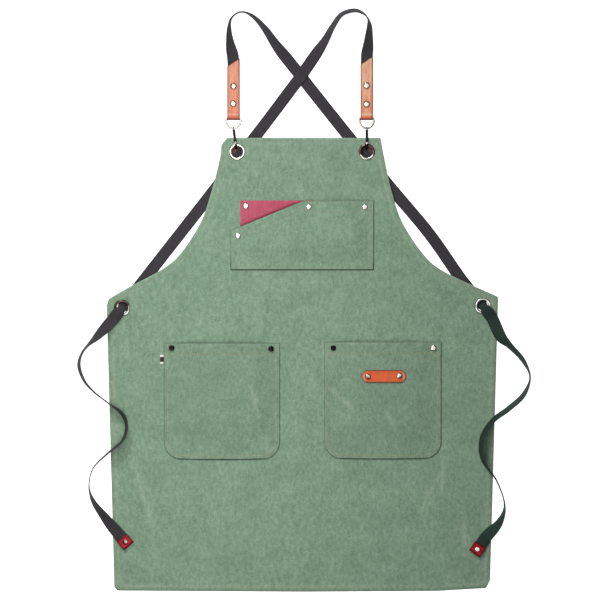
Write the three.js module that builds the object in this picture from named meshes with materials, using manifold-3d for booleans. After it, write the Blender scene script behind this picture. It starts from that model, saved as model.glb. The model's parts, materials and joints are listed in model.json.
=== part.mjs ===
// A cross-back work apron in washed canvas, laid flat with its ties spread out beside it.
// Millimetres. X runs across the apron, Y from the hem to the shoulder loops, Z up from the floor.
import * as THREE from 'three';
import { mergeVertices } from 'three/addons/utils/BufferGeometryUtils.js';
import Module from 'manifold-3d';

const wasm = await Module();
wasm.setup();

// Driving dimensions
const GAP = 0.3; // kept between neighbouring pieces
const CANVAS = 1.4; // thickness of the canvas
const LINING = 1.0; // thickness of the red lining cloth
const WEBBING = { width: 21, thickness: 1.6, points: 4, turn: 28 }; // turn: degrees between two sections
const CELL = 40; // lattice step of the panel, and twice that of the pockets
const POCKET_CELL = CELL / 2;
// Height of the canvas above the floor: the straps below hold the bib and the waist up, and the hem lies down
const BED = [
  { y: 288.5, z: 6.75 },
  { y: -80, z: 5.4 },
  { y: -480, z: 0 },
];
const PRISM = { low: -20, high: 60 }; // height range of the cutting prisms
const HIP_SWELL = 9; // how far an empty pocket stands off the panel
const BIB_SWELL = 8;

const PANEL = {
  top: 288.5,
  topLeft: -134.5,
  topRight: 137,
  clip: { x: -144.5, y: 276 },
  waistLeft: { x: -347, y: 3 },
  waistRight: { x: 345, y: 8 },
  waistRound: 11,
  hem: [
    { x: -334, y: -506 },
    { x: -328, y: -512.5 },
    { x: 0, y: -514.5 },
    { x: 240, y: -513 },
    { x: 324, y: -508 },
    { x: 331, y: -494 },
  ],
};

// Both edges of the bib, from the top down to the waist
const ARMHOLE = [
  { y: 253, left: -147, right: 143.5 },
  { y: 197, left: -161, right: 156 },
  { y: 140, left: -180.5, right: 175 },
  { y: 83, left: -217.5, right: 212.5 },
  { y: 55, left: -251, right: 244.5 },
  { y: 26.5, left: -304, right: 302.5 },
];

// A grommet is rolled over the canvas, with a flange in front and a washer behind
const GROMMET = { hole: 9.75, barrel: 10.7, flange: 14.4, washer: 14, washerDepth: 1, dome: 2.1, sides: 16 };
// Its rolled flange, as shares of the way in from the rim to the hole and of the height of the roll
const GROMMET_ROLL = [
  { inward: 0, up: 0 },
  { inward: 0.04, up: 0.4 },
  { inward: 0.43, up: 0.86 },
  { inward: 0.79, up: 0.62 },
  { inward: 1, up: 0.1 },
];
const GROMMETS = [
  { name: 'grommet_bib_left', x: -116.5, y: 263.7 },
  { name: 'grommet_bib_right', x: 112.6, y: 263.7 },
  { name: 'grommet_waist_left', x: -320, y: -12.4 },
  { name: 'grommet_waist_right', x: 318.2, y: -8.8 },
];

const HIP_POCKETS = [
  { name: 'hip_pocket_left', left: -246, right: -41, top: -74.5, bottom: -281 },
  { name: 'hip_pocket_right', left: 37.5, right: 244.5, top: -72.5, bottom: -280 },
];
const HIP_CORNER = 34; // reach of the two round lower corners
const HIP_BOW = 2.2; // how far the lower edge sags between them
const HIP_SEAM = { side: 55, bottom: 80, flat: 6 }; // how fast the pocket rises from its seams
const BIB_POCKET = { left: -128, right: 125, top: 177, bottom: 55, slantX: 1, slantY: 124 };
const BIB_SEAM = { side: 40, bottom: 55, flat: 6 };
const LINING_PATCH = { left: -111, right: 20, top: 177.7, bottom: 112 };
const PIN_REACH = 42; // a rivet holds a pocket down so far round it

// A rivet has a domed cap, a shank and a thin back disc pressed level with the cloth
const RIVET = { cap: 5, dome: 1.9, shank: 1.5, back: 4, backDepth: 0.45, sides: 8 };
// Its cap, as shares of the radius and of the height of the dome
const RIVET_DOME = [
  { out: 1, up: 0 },
  { out: 0.94, up: 0.4 },
  { out: 0.6, up: 0.87 },
  { out: 0, up: 1 },
];
const BIB_RIVETS = [
  { name: 'rivet_bib_lining', x: -101, y: 168, through: ['lining'] },
  { name: 'rivet_bib_middle', x: 10.5, y: 166.5, through: ['lining', 'pocket'] },
  { name: 'rivet_bib_right', x: 109.5, y: 166.5, through: ['pocket'] },
  { name: 'rivet_bib_left', x: -115, y: 115, through: ['pocket'] },
];
const HIP_RIVETS = [
  { name: 'rivet_hip_left_outer', x: -232, y: -83, pocket: 'hip_pocket_left', dark: true },
  { name: 'rivet_hip_left_inner', x: -56.5, y: -84.5, pocket: 'hip_pocket_left', dark: true },
  { name: 'rivet_hip_right_inner', x: 53.5, y: -83, pocket: 'hip_pocket_right', dark: true },
  { name: 'rivet_hip_right_outer', x: 230.5, y: -83, pocket: 'hip_pocket_right', dark: false },
];

const STRIP = { left: 103.5, right: 182, top: -122, bottom: -144, thickness: 1.8, round: 9 };
const STRIP_RIVETS = [
  { name: 'rivet_strip_left', x: 114.5, y: -133.5 },
  { name: 'rivet_strip_right', x: 170.5, y: -132 },
];
const LABEL = { left: -252.5, right: -246.5, top: -95, bottom: -111.5, thickness: 1.2 };

// Leather tab folded round the straight bar of a D-ring
const TAB = { width: 22.2, leather: 1.8, inside: 2.8, foldY: 319.8 };
const RING = { wire: 1.1, width: 25.6, corner: 1.4, drop: 17.5, rise: 1, sides: 6, steps: 24 };
const RING_BOW = { across: 0.6, down: 0.75 }; // fullness of its bow, as shares of its half width and drop
const SHOULDERS = [
  { side: 'left', x: -123, lowEnd: 415.5, highEnd: 429.5, lean: 8, rivets: [380, 349] },
  { side: 'right', x: 112.8, lowEnd: 418, highEnd: 433, lean: 0, rivets: [381, 348] },
];

// Snap hook: an eye on the D-ring, a swivel collar and a closed loop through the bib grommet
const HOOK = {
  eye: 2.6, eyeWire: 1, collarTop: 2.6, collarLow: 2, collarFrom: 3,
  loopTop: 9.5, loopEnd: 37, bar: 2.8, barWidth: 4.6, low: 2.3, high: 13.5,
  knob: 2.4, knobAt: 26.5, sides: 6, bendSteps: 7,
};

// Each strap from the tab to the point before the waist grommet, and then its free tie.
// up: height above where it would rest; roll: degrees from lying flat to standing on its edge.
const STRAPS = [
  {
    name: 'strap_left_shoulder', tip: 'right', grommet: 'grommet_waist_right', heading: [0.602, -0.798],
    back: [
      { x: -123, y: 338, up: 2.1, roll: 0 },
      { x: -124, y: 431, up: 2.1, roll: 0 },
      { x: -127, y: 446, up: 0.8, roll: 28 },
      { x: -129, y: 458, up: 0, roll: 48 },
      { x: -130.5, y: 478, up: 0, roll: 68 },
      { x: -127.5, y: 498, up: 0, roll: 84 },
      { x: -116, y: 509, up: 0, roll: 90 },
      { x: -104, y: 510.5, up: 0, roll: 88 },
      { x: -88, y: 502.5, up: 0, roll: 76 },
      { x: -69, y: 483, up: 0, roll: 61 },
      { x: -47, y: 451.5, up: 0, roll: 37 },
      { x: -28, y: 428, up: 0, roll: 8 },
      { x: -14, y: 410.5, up: 0, roll: 0 },
      { x: 82, y: 289.5, up: 0, roll: 0 },
      { x: 156.5, y: 199, up: 0, roll: 0 },
      { x: 225, y: 117, up: 0, roll: 0 },
      { x: 283, y: 34.5, up: 0, roll: 0 },
    ],
    tie: [
      { x: 349, y: -62, roll: 24 },
      { x: 362, y: -76, roll: 58 },
      { x: 389.5, y: -106, roll: 72 },
      { x: 401, y: -134.5, roll: 88, up: 0.3 },
      { x: 390, y: -165, roll: 72 },
      { x: 363, y: -190, roll: 68 },
      { x: 336, y: -210.5, roll: 70 },
      { x: 316, y: -241, roll: 74 },
      { x: 316, y: -278, roll: 79 },
      { x: 342.5, y: -318.5, roll: 87 },
      { x: 356, y: -363, roll: 86 },
      { x: 347, y: -391, roll: 58, up: 0.6 },
      { x: 325, y: -416, roll: 14, up: 1.2 },
      { x: 317, y: -427, roll: 0, tip: true },
      { x: 304, y: -445, roll: 0, tip: true },
    ],
  },
  {
    name: 'strap_right_shoulder', tip: 'left', grommet: 'grommet_waist_left', heading: [-0.62, -0.785],
    back: [
      { x: 112.8, y: 338, up: 2.1, roll: 0 },
      { x: 113, y: 434, up: 2.1, roll: 0 },
      { x: 115, y: 450, up: 0.8, roll: 26 },
      { x: 116.3, y: 465.5, up: 0, roll: 46 },
      { x: 117.3, y: 488.5, up: 0, roll: 67 },
      { x: 114.5, y: 500, up: 0, roll: 82 },
      { x: 106, y: 508.5, up: 0, roll: 74 },
      { x: 92, y: 513.5, up: 0, roll: 67 },
      { x: 69, y: 507, up: 0, roll: 65 },
      { x: 52.5, y: 485.5, up: 0, roll: 61 },
      { x: 39, y: 460.5, up: 0, roll: 46 },
      { x: 16, y: 426.5, up: 1.2, roll: 4 },
      { x: -4, y: 397.5, up: 2.2, roll: 0 },
      { x: -28, y: 365.5, up: 1.2, roll: 0 },
      { x: -52, y: 333.5, up: 0, roll: 0 },
      { x: -85.5, y: 289.5, up: 0, roll: 0 },
      { x: -163, y: 189, up: 0, roll: 0 },
      { x: -281, y: 38, up: 0, roll: 0 },
    ],
    tie: [
      { x: -363, y: -62, roll: 48 },
      { x: -379, y: -77, roll: 74 },
      { x: -391, y: -93, roll: 77 },
      { x: -396, y: -113, roll: 71 },
      { x: -387, y: -140, roll: 74 },
      { x: -369, y: -160.5, roll: 80 },
      { x: -345, y: -179.5, roll: 82 },
      { x: -318, y: -200.5, roll: 70 },
      { x: -311.5, y: -222.5, roll: 74 },
      { x: -318.5, y: -246, roll: 78 },
      { x: -345, y: -269, roll: 82 },
      { x: -371, y: -296, roll: 86 },
      { x: -378, y: -328, roll: 84 },
      { x: -371, y: -352.5, roll: 66 },
      { x: -351, y: -381, roll: 40 },
      { x: -332, y: -405, roll: 10, up: 0.6 },
      { x: -323, y: -415.5, roll: 0, tip: true },
      { x: -309, y: -431.5, roll: 0, tip: true },
    ],
  },
];

// How a strap climbs through a waist grommet: distance past its centre, height and curl in degrees
const GROMMET_PASS = [
  { along: -15, z: 1.2, curl: 0 },
  { along: -9, z: 1.7, curl: 15 },
  { along: -5, z: 3.3, curl: 60 },
  { along: -1.5, z: 7, curl: 150 },
  { along: 2, z: 11.2, curl: 155 },
  { along: 7, z: 13, curl: 100 },
  { along: 14, z: 11.6, curl: 36 },
  { along: 26, z: 9, curl: 0 },
];
// A tie comes down from the canvas to the floor between these distances past the canvas edge
const PANEL_EDGE_REACH = { near: 10, far: 36 };

// Red leather folded over the end of a tie
const TIP = { length: 19.5, width: 22.4, leather: 1.4, inside: 2.2, rivet: 10 };

const MATERIALS = {
  canvas: new THREE.MeshStandardMaterial({ color: 0x829d86, roughness: 0.95, metalness: 0 }),
  red: new THREE.MeshStandardMaterial({ color: 0xb8405c, roughness: 0.9, metalness: 0 }),
  webbing: new THREE.MeshStandardMaterial({ color: 0x403d42, roughness: 0.85, metalness: 0 }),
  tan: new THREE.MeshStandardMaterial({ color: 0xc8693c, roughness: 0.45, metalness: 0 }),
  redLeather: new THREE.MeshStandardMaterial({ color: 0x9c1f2b, roughness: 0.4, metalness: 0 }),
  nickel: new THREE.MeshStandardMaterial({ color: 0xe4d8d2, roughness: 0.15, metalness: 1 }),
  black: new THREE.MeshStandardMaterial({ color: 0x1d1c1e, roughness: 0.3, metalness: 1 }),
  label: new THREE.MeshStandardMaterial({ color: 0xe6dfdc, roughness: 0.9, metalness: 0 }),
};

const { lerp, degToRad, smoothstep } = THREE.MathUtils;
const UP = new THREE.Vector3(0, 0, 1);
const SAME_POINT = 1e-4; // vertices closer than this are one
const FLAT_CURL = 0.01; // webbing curled less than this, in radians, is flat

// Turns a geometry's triangles so that they face out, and drops everything but its shape.
function shapeOnly(geometry) {
  const bare = geometry.clone();
  bare.deleteAttribute('normal');
  bare.deleteAttribute('uv');
  const merged = mergeVertices(bare, SAME_POINT);
  const index = Array.from(merged.index.array);
  const place = (k) => new THREE.Vector3().fromBufferAttribute(merged.attributes.position, k);
  const faces = [];
  let volume = 0;
  for (let k = 0; k < index.length; k += 3) {
    const [a, b, c] = index.slice(k, k + 3);
    if (a === b || b === c || c === a) continue;
    volume += place(a).dot(place(b).cross(place(c)));
    faces.push([a, b, c]);
  }
  const outward = volume < 0 ? faces.map(([a, b, c]) => [a, c, b]) : faces;
  merged.setIndex(outward.flat());
  return merged;
}

function toSolid(geometry) {
  const shape = shapeOnly(geometry);
  const vertProperties = new Float32Array(shape.attributes.position.array);
  const triVerts = new Uint32Array(shape.index.array);
  return new wasm.Manifold(new wasm.Mesh({ numProp: 3, vertProperties, triVerts }));
}

function toGeometry(solid) {
  const mesh = solid.getMesh();
  const geometry = new THREE.BufferGeometry();
  geometry.setAttribute('position', new THREE.BufferAttribute(new Float32Array(mesh.vertProperties), 3));
  geometry.setIndex(Array.from(mesh.triVerts));
  return geometry;
}

// An upright prism over a drawn outline.
function prism(shape, low = PRISM.low, high = PRISM.high, curveSegments = 3) {
  const options = { depth: high - low, bevelEnabled: false, curveSegments };
  const geometry = new THREE.ExtrudeGeometry(shape, options);
  return toSolid(geometry.translate(0, 0, low));
}

// An upright peg whose flat sides clear the radius.
function peg(x, y, radius, low, high, sides = RIVET.sides) {
  const reach = radius / Math.cos(Math.PI / sides);
  const geometry = new THREE.CylinderGeometry(reach, reach, high - low, sides);
  return toSolid(geometry.rotateX(Math.PI / 2).translate(x, y, (low + high) / 2));
}

// Joins rings of points into one closed skin, capped at both ends or joined round.
function skin(rings, closed = false) {
  const count = rings[0].length;
  const positions = rings.flat().flatMap((point) => point.toArray());
  const index = [];
  const last = closed ? rings.length : rings.length - 1;
  for (let r = 0; r < last; r += 1) {
    const here = r * count;
    const next = ((r + 1) % rings.length) * count;
    for (let k = 0; k < count; k += 1) {
      const after = (k + 1) % count;
      index.push(here + k, here + after, next + after, here + k, next + after, next + k);
    }
  }
  if (!closed) {
    const end = (rings.length - 1) * count;
    for (let k = 1; k < count - 1; k += 1) {
      index.push(0, k + 1, k, end, end + k, end + k + 1);
    }
  }
  const geometry = new THREE.BufferGeometry();
  geometry.setAttribute('position', new THREE.Float32BufferAttribute(positions, 3));
  geometry.setIndex(index);
  return geometry;
}

// Height of the canvas above the floor, before it is set on its lattice. It is the same all across.
function drape(x, y) {
  const next = BED.findIndex((row) => row.y <= y);
  if (next === 0) return BED[0].z;
  if (next < 0) return BED.at(-1).z;
  const [above, below] = [BED[next - 1], BED[next]];
  return lerp(below.z, above.z, (y - below.y) / (above.y - below.y));
}

// Reads a height off a lattice whose cells are split along the rising diagonal.
function onLattice(x, y, cell, height) {
  const i = Math.floor(x / cell);
  const j = Math.floor(y / cell);
  const u = x / cell - i;
  const v = y / cell - j;
  const at = (di, dj) => height((i + di) * cell, (j + dj) * cell);
  const along = u >= v ? at(1, 0) : at(0, 1);
  const [first, second] = u >= v ? [u, v] : [v, u];
  return at(0, 0) + first * (along - at(0, 0)) + second * (at(1, 1) - along);
}

const panelUnder = (x, y) => onLattice(x, y, CELL, drape);
const panelTop = (x, y) => panelUnder(x, y) + CANVAS;

// A sheet of cloth on a lattice, cut to an outline.
function sheet(shape, cell, under, thickness) {
  const points = shape.getPoints();
  const box = new THREE.Box2().setFromPoints(points);
  const low = box.min.clone().divideScalar(cell).floor();
  const high = box.max.clone().divideScalar(cell).ceil();
  const across = high.x - low.x + 1;
  const deep = high.y - low.y + 1;
  const positions = [];
  for (const lift of [0, thickness]) {
    for (let j = 0; j < deep; j += 1) {
      for (let i = 0; i < across; i += 1) {
        const x = (low.x + i) * cell;
        const y = (low.y + j) * cell;
        positions.push(x, y, under(x, y) + lift);
      }
    }
  }
  const layer = across * deep;
  const index = [];
  const wall = (a, b) => index.push(a, b, b + layer, a, b + layer, a + layer);
  for (let j = 0; j < deep - 1; j += 1) {
    for (let i = 0; i < across - 1; i += 1) {
      const a = j * across + i;
      const [b, c, d] = [a + 1, a + across + 1, a + across];
      index.push(a, c, b, a, d, c, a + layer, b + layer, c + layer, a + layer, c + layer, d + layer);
      if (j === 0) wall(a, b);
      if (j === deep - 2) wall(c, d);
      if (i === 0) wall(d, a);
      if (i === across - 2) wall(b, c);
    }
  }
  const slab = new THREE.BufferGeometry();
  slab.setAttribute('position', new THREE.Float32BufferAttribute(positions, 3));
  slab.setIndex(index);
  return toSolid(slab).intersect(prism(shape));
}

function panelOutline() {
  const shape = new THREE.Shape();
  const edge = (side) => ARMHOLE.map((row) => new THREE.Vector2(row[side], row.y));
  const { waistLeft, waistRight, waistRound, clip, hem } = PANEL;
  shape.moveTo(PANEL.topRight, PANEL.top);
  shape.lineTo(PANEL.topLeft, PANEL.top);
  shape.lineTo(clip.x, clip.y);
  const roundFrom = new THREE.Vector2(waistLeft.x + waistRound, waistLeft.y + waistRound / 2);
  shape.splineThru([...edge('left'), roundFrom]);
  shape.quadraticCurveTo(waistLeft.x, waistLeft.y, waistLeft.x, waistLeft.y - waistRound);
  hem.forEach(({ x, y }) => shape.lineTo(x, y));
  shape.lineTo(waistRight.x, waistRight.y);
  shape.splineThru([...edge('right').reverse(), new THREE.Vector2(PANEL.topRight, PANEL.top)]);
  return shape;
}

function hipOutline({ left, right, top, bottom }) {
  const low = bottom + HIP_BOW;
  const shape = new THREE.Shape();
  shape.moveTo(right, top);
  shape.lineTo(left, top);
  shape.lineTo(left, low + HIP_CORNER);
  shape.quadraticCurveTo(left, low, left + HIP_CORNER, low);
  shape.quadraticCurveTo((left + right) / 2, bottom - HIP_BOW, right - HIP_CORNER, low);
  shape.quadraticCurveTo(right, low, right, low + HIP_CORNER);
  return shape;
}

function bibOutline() {
  const { left, right, top, bottom, slantX, slantY } = BIB_POCKET;
  const corners = [[right, top], [slantX, top], [left, slantY], [left, bottom], [right, bottom]];
  return new THREE.Shape(corners.map(([x, y]) => new THREE.Vector2(x, y)));
}

function rectangle({ left, right, top, bottom }) {
  const corners = [[right, top], [left, top], [left, bottom], [right, bottom]];
  return new THREE.Shape(corners.map(([x, y]) => new THREE.Vector2(x, y)));
}

// How far a pocket stands off the panel: nothing at its seams and rivets, most in the middle of its mouth.
function swell(x, y, pocket, seam, height, pins) {
  const side = Math.min(x - pocket.left, pocket.right - x);
  const fromSide = smoothstep(side, seam.flat, seam.side);
  const fromBottom = smoothstep(y - pocket.bottom, seam.flat, seam.bottom);
  const fromPins = pins.map((pin) => smoothstep(Math.hypot(x - pin.x, y - pin.y), RIVET.cap, PIN_REACH));
  return height * fromSide * fromBottom * Math.min(1, ...fromPins);
}

// Undersides of the cloth pieces that lie on the panel, at the nodes of their lattices.
const liningUnder = (x, y) => panelTop(x, y) + GAP;
const LINING_STEP = LINING + GAP; // what the pocket clears over the lining
function bibUnder(x, y) {
  const { left, right, top, bottom } = LINING_PATCH;
  const beside = Math.max(left - x, x - right, bottom - y, y - top);
  const overLining = LINING_STEP * (1 - smoothstep(beside, POCKET_CELL * Math.SQRT2, POCKET_CELL * 3));
  const pins = BIB_RIVETS.filter(({ through }) => through.includes('pocket'));
  const stand = swell(x, y, BIB_POCKET, BIB_SEAM, BIB_SWELL, pins);
  return panelTop(x, y) + GAP + Math.max(overLining, stand);
}
const hipUnder = (pocket) => (x, y) => panelTop(x, y) + GAP + swell(x, y, pocket, HIP_SEAM, HIP_SWELL, []);

function highest(x, y, radius, surface) {
  const ring = Array.from({ length: RIVET.sides }, (_, k) => (k * 2 * Math.PI) / RIVET.sides);
  const heights = ring.map((angle) => surface(x + radius * Math.cos(angle), y + radius * Math.sin(angle)));
  return Math.max(surface(x, y), ...heights);
}

function lowest(x, y, radius, surface) {
  return -highest(x, y, radius, (px, py) => -surface(px, py));
}

// A rivet from its back face to the seat of its cap; the back disc is left off where nothing holds it.
function rivetShape({ back, seat, disc }) {
  const { cap, dome, shank, backDepth } = RIVET;
  const deep = back + backDepth;
  const foot = disc ? [[0, back], [disc, back], [disc, deep], [shank, deep]] : [[0, back], [shank, back]];
  const head = RIVET_DOME.map(({ out, up }) => [cap * out, seat + dome * up]);
  const profile = [...foot, [shank, seat], ...head].map(([r, z]) => new THREE.Vector2(r, z));
  return new THREE.LatheGeometry(profile, RIVET.sides).rotateX(Math.PI / 2);
}

function grommetShape() {
  const { hole, barrel, flange, washer, washerDepth, dome, sides } = GROMMET;
  const front = CANVAS + GAP;
  const low = -GAP - washerDepth;
  const behind = [[hole, low], [washer, low], [washer, -GAP], [barrel, -GAP], [barrel, front]];
  const roll = GROMMET_ROLL.map(({ inward, up }) => [lerp(flange, hole, inward), front + dome * up]);
  const points = [...behind, ...roll, [hole, low]].map(([r, z]) => new THREE.Vector2(r, z));
  return new THREE.LatheGeometry(points, sides).rotateX(Math.PI / 2);
}

// Where a strap rests: on the canvas, or on the floor beside it.
function strapRest(x, y) {
  if (y > PANEL.waistRight.y) return 0;
  const edge = (from, to) => lerp(from.x, to.x, (y - from.y) / (to.y - from.y));
  const outLeft = edge(PANEL.waistLeft, PANEL.hem[0]) - x;
  const outRight = x - edge(PANEL.waistRight, PANEL.hem.at(-1));
  const out = smoothstep(Math.max(outLeft, outRight), PANEL_EDGE_REACH.near, PANEL_EDGE_REACH.far);
  return panelTop(x, y) * (1 - out);
}

function strapRows({ back, tie, grommet, heading }) {
  const eye = GROMMETS.find(({ name }) => name === grommet);
  const rest = ({ roll, up = 0 }, ground) => {
    const lean = degToRad(roll);
    const half = (WEBBING.width / 2) * Math.sin(lean) + (WEBBING.thickness / 2) * Math.cos(lean);
    return ground + GAP + up + half;
  };
  const tipEnd = tie.at(-1);
  const tipZ = highest(tipEnd.x, tipEnd.y, TIP.length, strapRest) + GAP + TIP.leather + TIP.inside / 2;
  const onFloor = back.map((row) => ({ ...row, z: rest(row, 0), curl: 0 }));
  const through = GROMMET_PASS.map(({ along, z, curl }) => {
    return { x: eye.x + heading[0] * along, y: eye.y + heading[1] * along, z, curl, roll: 0 };
  });
  const free = tie.map((row) => {
    const ground = highest(row.x, row.y, WEBBING.width / 2, strapRest);
    return { ...row, z: row.tip ? tipZ : rest(row, ground), curl: 0 };
  });
  return [...onFloor, ...through, ...free];
}

// One section of webbing, flat or curled across its width.
function webbingSection(place, tangent, roll, curl) {
  const side = new THREE.Vector3().crossVectors(UP, tangent).normalize().applyAxisAngle(tangent, roll);
  const face = new THREE.Vector3().crossVectors(tangent, side);
  const { width, thickness, points } = WEBBING;
  const row = (half) => Array.from({ length: points }, (_, k) => {
    const share = k / (points - 1) - 0.5;
    const angle = curl * share;
    const radius = curl > FLAT_CURL ? width / curl : 0;
    const across = radius ? radius * Math.sin(angle) : width * share;
    const bow = radius ? radius * (Math.cos(angle) - Math.sin(curl / 2) / (curl / 2)) : 0;
    const outward = face.clone().applyAxisAngle(tangent, -angle);
    const middle = place.clone().addScaledVector(side, across).addScaledVector(face, bow);
    return middle.addScaledVector(outward, half);
  });
  return [...row(thickness / 2), ...row(-thickness / 2).reverse()];
}

function strapShape(rows) {
  const places = rows.map(({ x, y, z }) => new THREE.Vector3(x, y, z));
  const curve = new THREE.CatmullRomCurve3(places, false, 'centripetal');
  const spans = rows.length - 1;
  const rings = [];
  const addRing = (k, share) => {
    const t = (k + share) / spans;
    const roll = degToRad(lerp(rows[k].roll, rows[k + 1].roll, share));
    const curl = degToRad(lerp(rows[k].curl, rows[k + 1].curl, share));
    rings.push(webbingSection(curve.getPoint(t), curve.getTangent(t), roll, curl));
  };
  for (let k = 0; k < spans; k += 1) {
    const bend = curve.getTangent(k / spans).angleTo(curve.getTangent((k + 1) / spans));
    const twist = degToRad(Math.abs(rows[k + 1].roll - rows[k].roll));
    const steps = Math.max(1, Math.ceil(Math.max(bend, twist) / degToRad(WEBBING.turn)));
    for (let s = 0; s < steps; s += 1) addRing(k, s / steps);
  }
  addRing(spans - 1, 1);
  return skin(rings);
}

// A U of leather seen from its side: two layers and a round fold, lying along +Y from the fold.
function foldShape({ length, width, leather, inside }) {
  const outer = leather + inside / 2;
  const shape = new THREE.Shape();
  shape.moveTo(length, 0);
  shape.lineTo(length, leather);
  shape.lineTo(outer, leather);
  shape.absarc(outer, outer, inside / 2, -Math.PI / 2, -1.5 * Math.PI, true);
  shape.lineTo(length, leather + inside);
  shape.lineTo(length, 2 * outer);
  shape.lineTo(outer, 2 * outer);
  shape.absarc(outer, outer, outer, Math.PI / 2, 1.5 * Math.PI, false);
  const geometry = new THREE.ExtrudeGeometry(shape, { depth: width, bevelEnabled: false, curveSegments: 6 });
  geometry.translate(0, 0, -width / 2);
  return geometry.rotateX(Math.PI / 2).rotateZ(Math.PI / 2);
}

function tabShape({ x, lowEnd, highEnd, rivets }) {
  const length = highEnd - TAB.foldY + GAP;
  const blank = foldShape({ ...TAB, length });
  const half = TAB.width / 2 + GAP;
  const slant = [[-half, -GAP], [half, -GAP], [half, highEnd - TAB.foldY], [-half, lowEnd - TAB.foldY]];
  const cut = prism(new THREE.Shape(slant.map(([px, py]) => new THREE.Vector2(px, py))));
  const tab = rivets.reduce(
    (solid, y) => solid.subtract(peg(0, y - TAB.foldY, RIVET.shank + GAP, PRISM.low, PRISM.high)),
    toSolid(blank).intersect(cut),
  );
  return toGeometry(tab).translate(x, TAB.foldY, 0);
}

function ringShape() {
  const halfWidth = RING.width / 2;
  const { corner, drop, wire } = RING;
  const bow = { x: halfWidth * RING_BOW.across, y: -drop * RING_BOW.down };
  const shape = new THREE.Shape();
  shape.moveTo(halfWidth - corner, 0);
  shape.lineTo(corner - halfWidth, 0);
  shape.quadraticCurveTo(-halfWidth, 0, -halfWidth, -corner);
  shape.bezierCurveTo(-halfWidth, bow.y, -bow.x, -drop, 0, -drop);
  shape.bezierCurveTo(bow.x, -drop, halfWidth, bow.y, halfWidth, -corner);
  shape.quadraticCurveTo(halfWidth, 0, halfWidth - corner, 0);
  const flat = shape.getSpacedPoints(RING.steps).slice(0, RING.steps);
  const track = flat.map(({ x, y }) => new THREE.Vector3(x, y, (-y / drop) * RING.rise));
  return wireShape(track, wire, wire, UP);
}

// A closed wire of oval section round a track, with one half-axis along the given direction.
function wireShape(track, halfAlong, halfAcross, along) {
  const count = track.length;
  const rings = track.map((place, k) => {
    const tangent = track[(k + 1) % count].clone().sub(track[(k + count - 1) % count]).normalize();
    const across = new THREE.Vector3().crossVectors(along, tangent).normalize();
    return Array.from({ length: RING.sides }, (_, s) => {
      const angle = (s * 2 * Math.PI) / RING.sides;
      const point = place.clone().addScaledVector(along, halfAlong * Math.cos(angle));
      return point.addScaledVector(across, halfAcross * Math.sin(angle));
    });
  });
  return skin(rings, true);
}

// Snap hook with its eye at the origin, hanging along -Y, in the upright plane through X = 0.
function hookShape(eyeHeight) {
  const middle = (HOOK.low + HOOK.high) / 2;
  const bend = (HOOK.high - HOOK.low - HOOK.bar) / 2;
  const outer = bend + HOOK.bar / 2;
  const ends = [{ y: -HOOK.loopEnd + outer, from: Math.PI }, { y: -HOOK.loopTop - outer, from: 0 }];
  const track = ends.flatMap(({ y, from }) => Array.from({ length: HOOK.bendSteps }, (_, k) => {
    const angle = from - Math.PI / 2 + (k * Math.PI) / (HOOK.bendSteps - 1);
    return new THREE.Vector3(0, y + bend * Math.cos(angle), middle + bend * Math.sin(angle));
  }));
  const loop = toSolid(wireShape(track, HOOK.barWidth / 2, HOOK.bar / 2, new THREE.Vector3(1, 0, 0)));
  const eye = new THREE.TorusGeometry(HOOK.eye, HOOK.eyeWire, HOOK.sides, 2 * HOOK.sides);
  eye.rotateY(Math.PI / 2);
  const from = new THREE.Vector3(0, -HOOK.collarFrom, eyeHeight);
  const to = new THREE.Vector3(0, -HOOK.loopTop - HOOK.bar / 2, middle);
  const axis = from.clone().sub(to);
  const collar = new THREE.CylinderGeometry(HOOK.collarTop, HOOK.collarLow, axis.length(), HOOK.sides);
  const upright = new THREE.Vector3(0, 1, 0);
  collar.applyQuaternion(new THREE.Quaternion().setFromUnitVectors(upright, axis.clone().normalize()));
  collar.translate(...from.clone().add(to).multiplyScalar(0.5).toArray());
  const knob = new THREE.SphereGeometry(HOOK.knob, HOOK.sides, HOOK.sides - 2);
  knob.translate(0, -HOOK.knobAt, HOOK.high - HOOK.bar / 2);
  const parts = [eye.translate(0, 0, eyeHeight), collar, knob].map(toSolid);
  return toGeometry(parts.reduce((solid, part) => solid.add(part), loop));
}

const group = new THREE.Group();

function addPiece(name, geometry, material, parent = group) {
  const mesh = new THREE.Mesh(shapeOnly(geometry), material);
  mesh.name = name;
  mesh.geometry.computeVertexNormals();
  parent.add(mesh);
  return mesh;
}

// Cuts the holes of the rivets and grommets that pass through a cloth piece.
function pierce(solid, pins, radius) {
  return pins.reduce((cut, { x, y }) => cut.subtract(peg(x, y, radius, PRISM.low, PRISM.high)), solid);
}

const SHANK_HOLE = RIVET.shank + GAP;
const panelRivets = [...BIB_RIVETS, ...HIP_RIVETS];
const backSeat = ({ x, y }) => lowest(x, y, RIVET.back, panelUnder) + GAP / 2;

function addPanel() {
  let panel = sheet(panelOutline(), CELL, drape, CANVAS);
  for (const { x, y } of GROMMETS) {
    panel = panel.subtract(peg(x, y, GROMMET.barrel + GAP, PRISM.low, PRISM.high, GROMMET.sides));
  }
  panel = pierce(panel, panelRivets, SHANK_HOLE);
  for (const rivet of panelRivets) {
    const roof = backSeat(rivet) + RIVET.backDepth + GAP / 2;
    panel = panel.subtract(peg(rivet.x, rivet.y, RIVET.back + GAP, PRISM.low, roof));
  }
  addPiece('body_panel', toGeometry(panel), MATERIALS.canvas);
}

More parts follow.
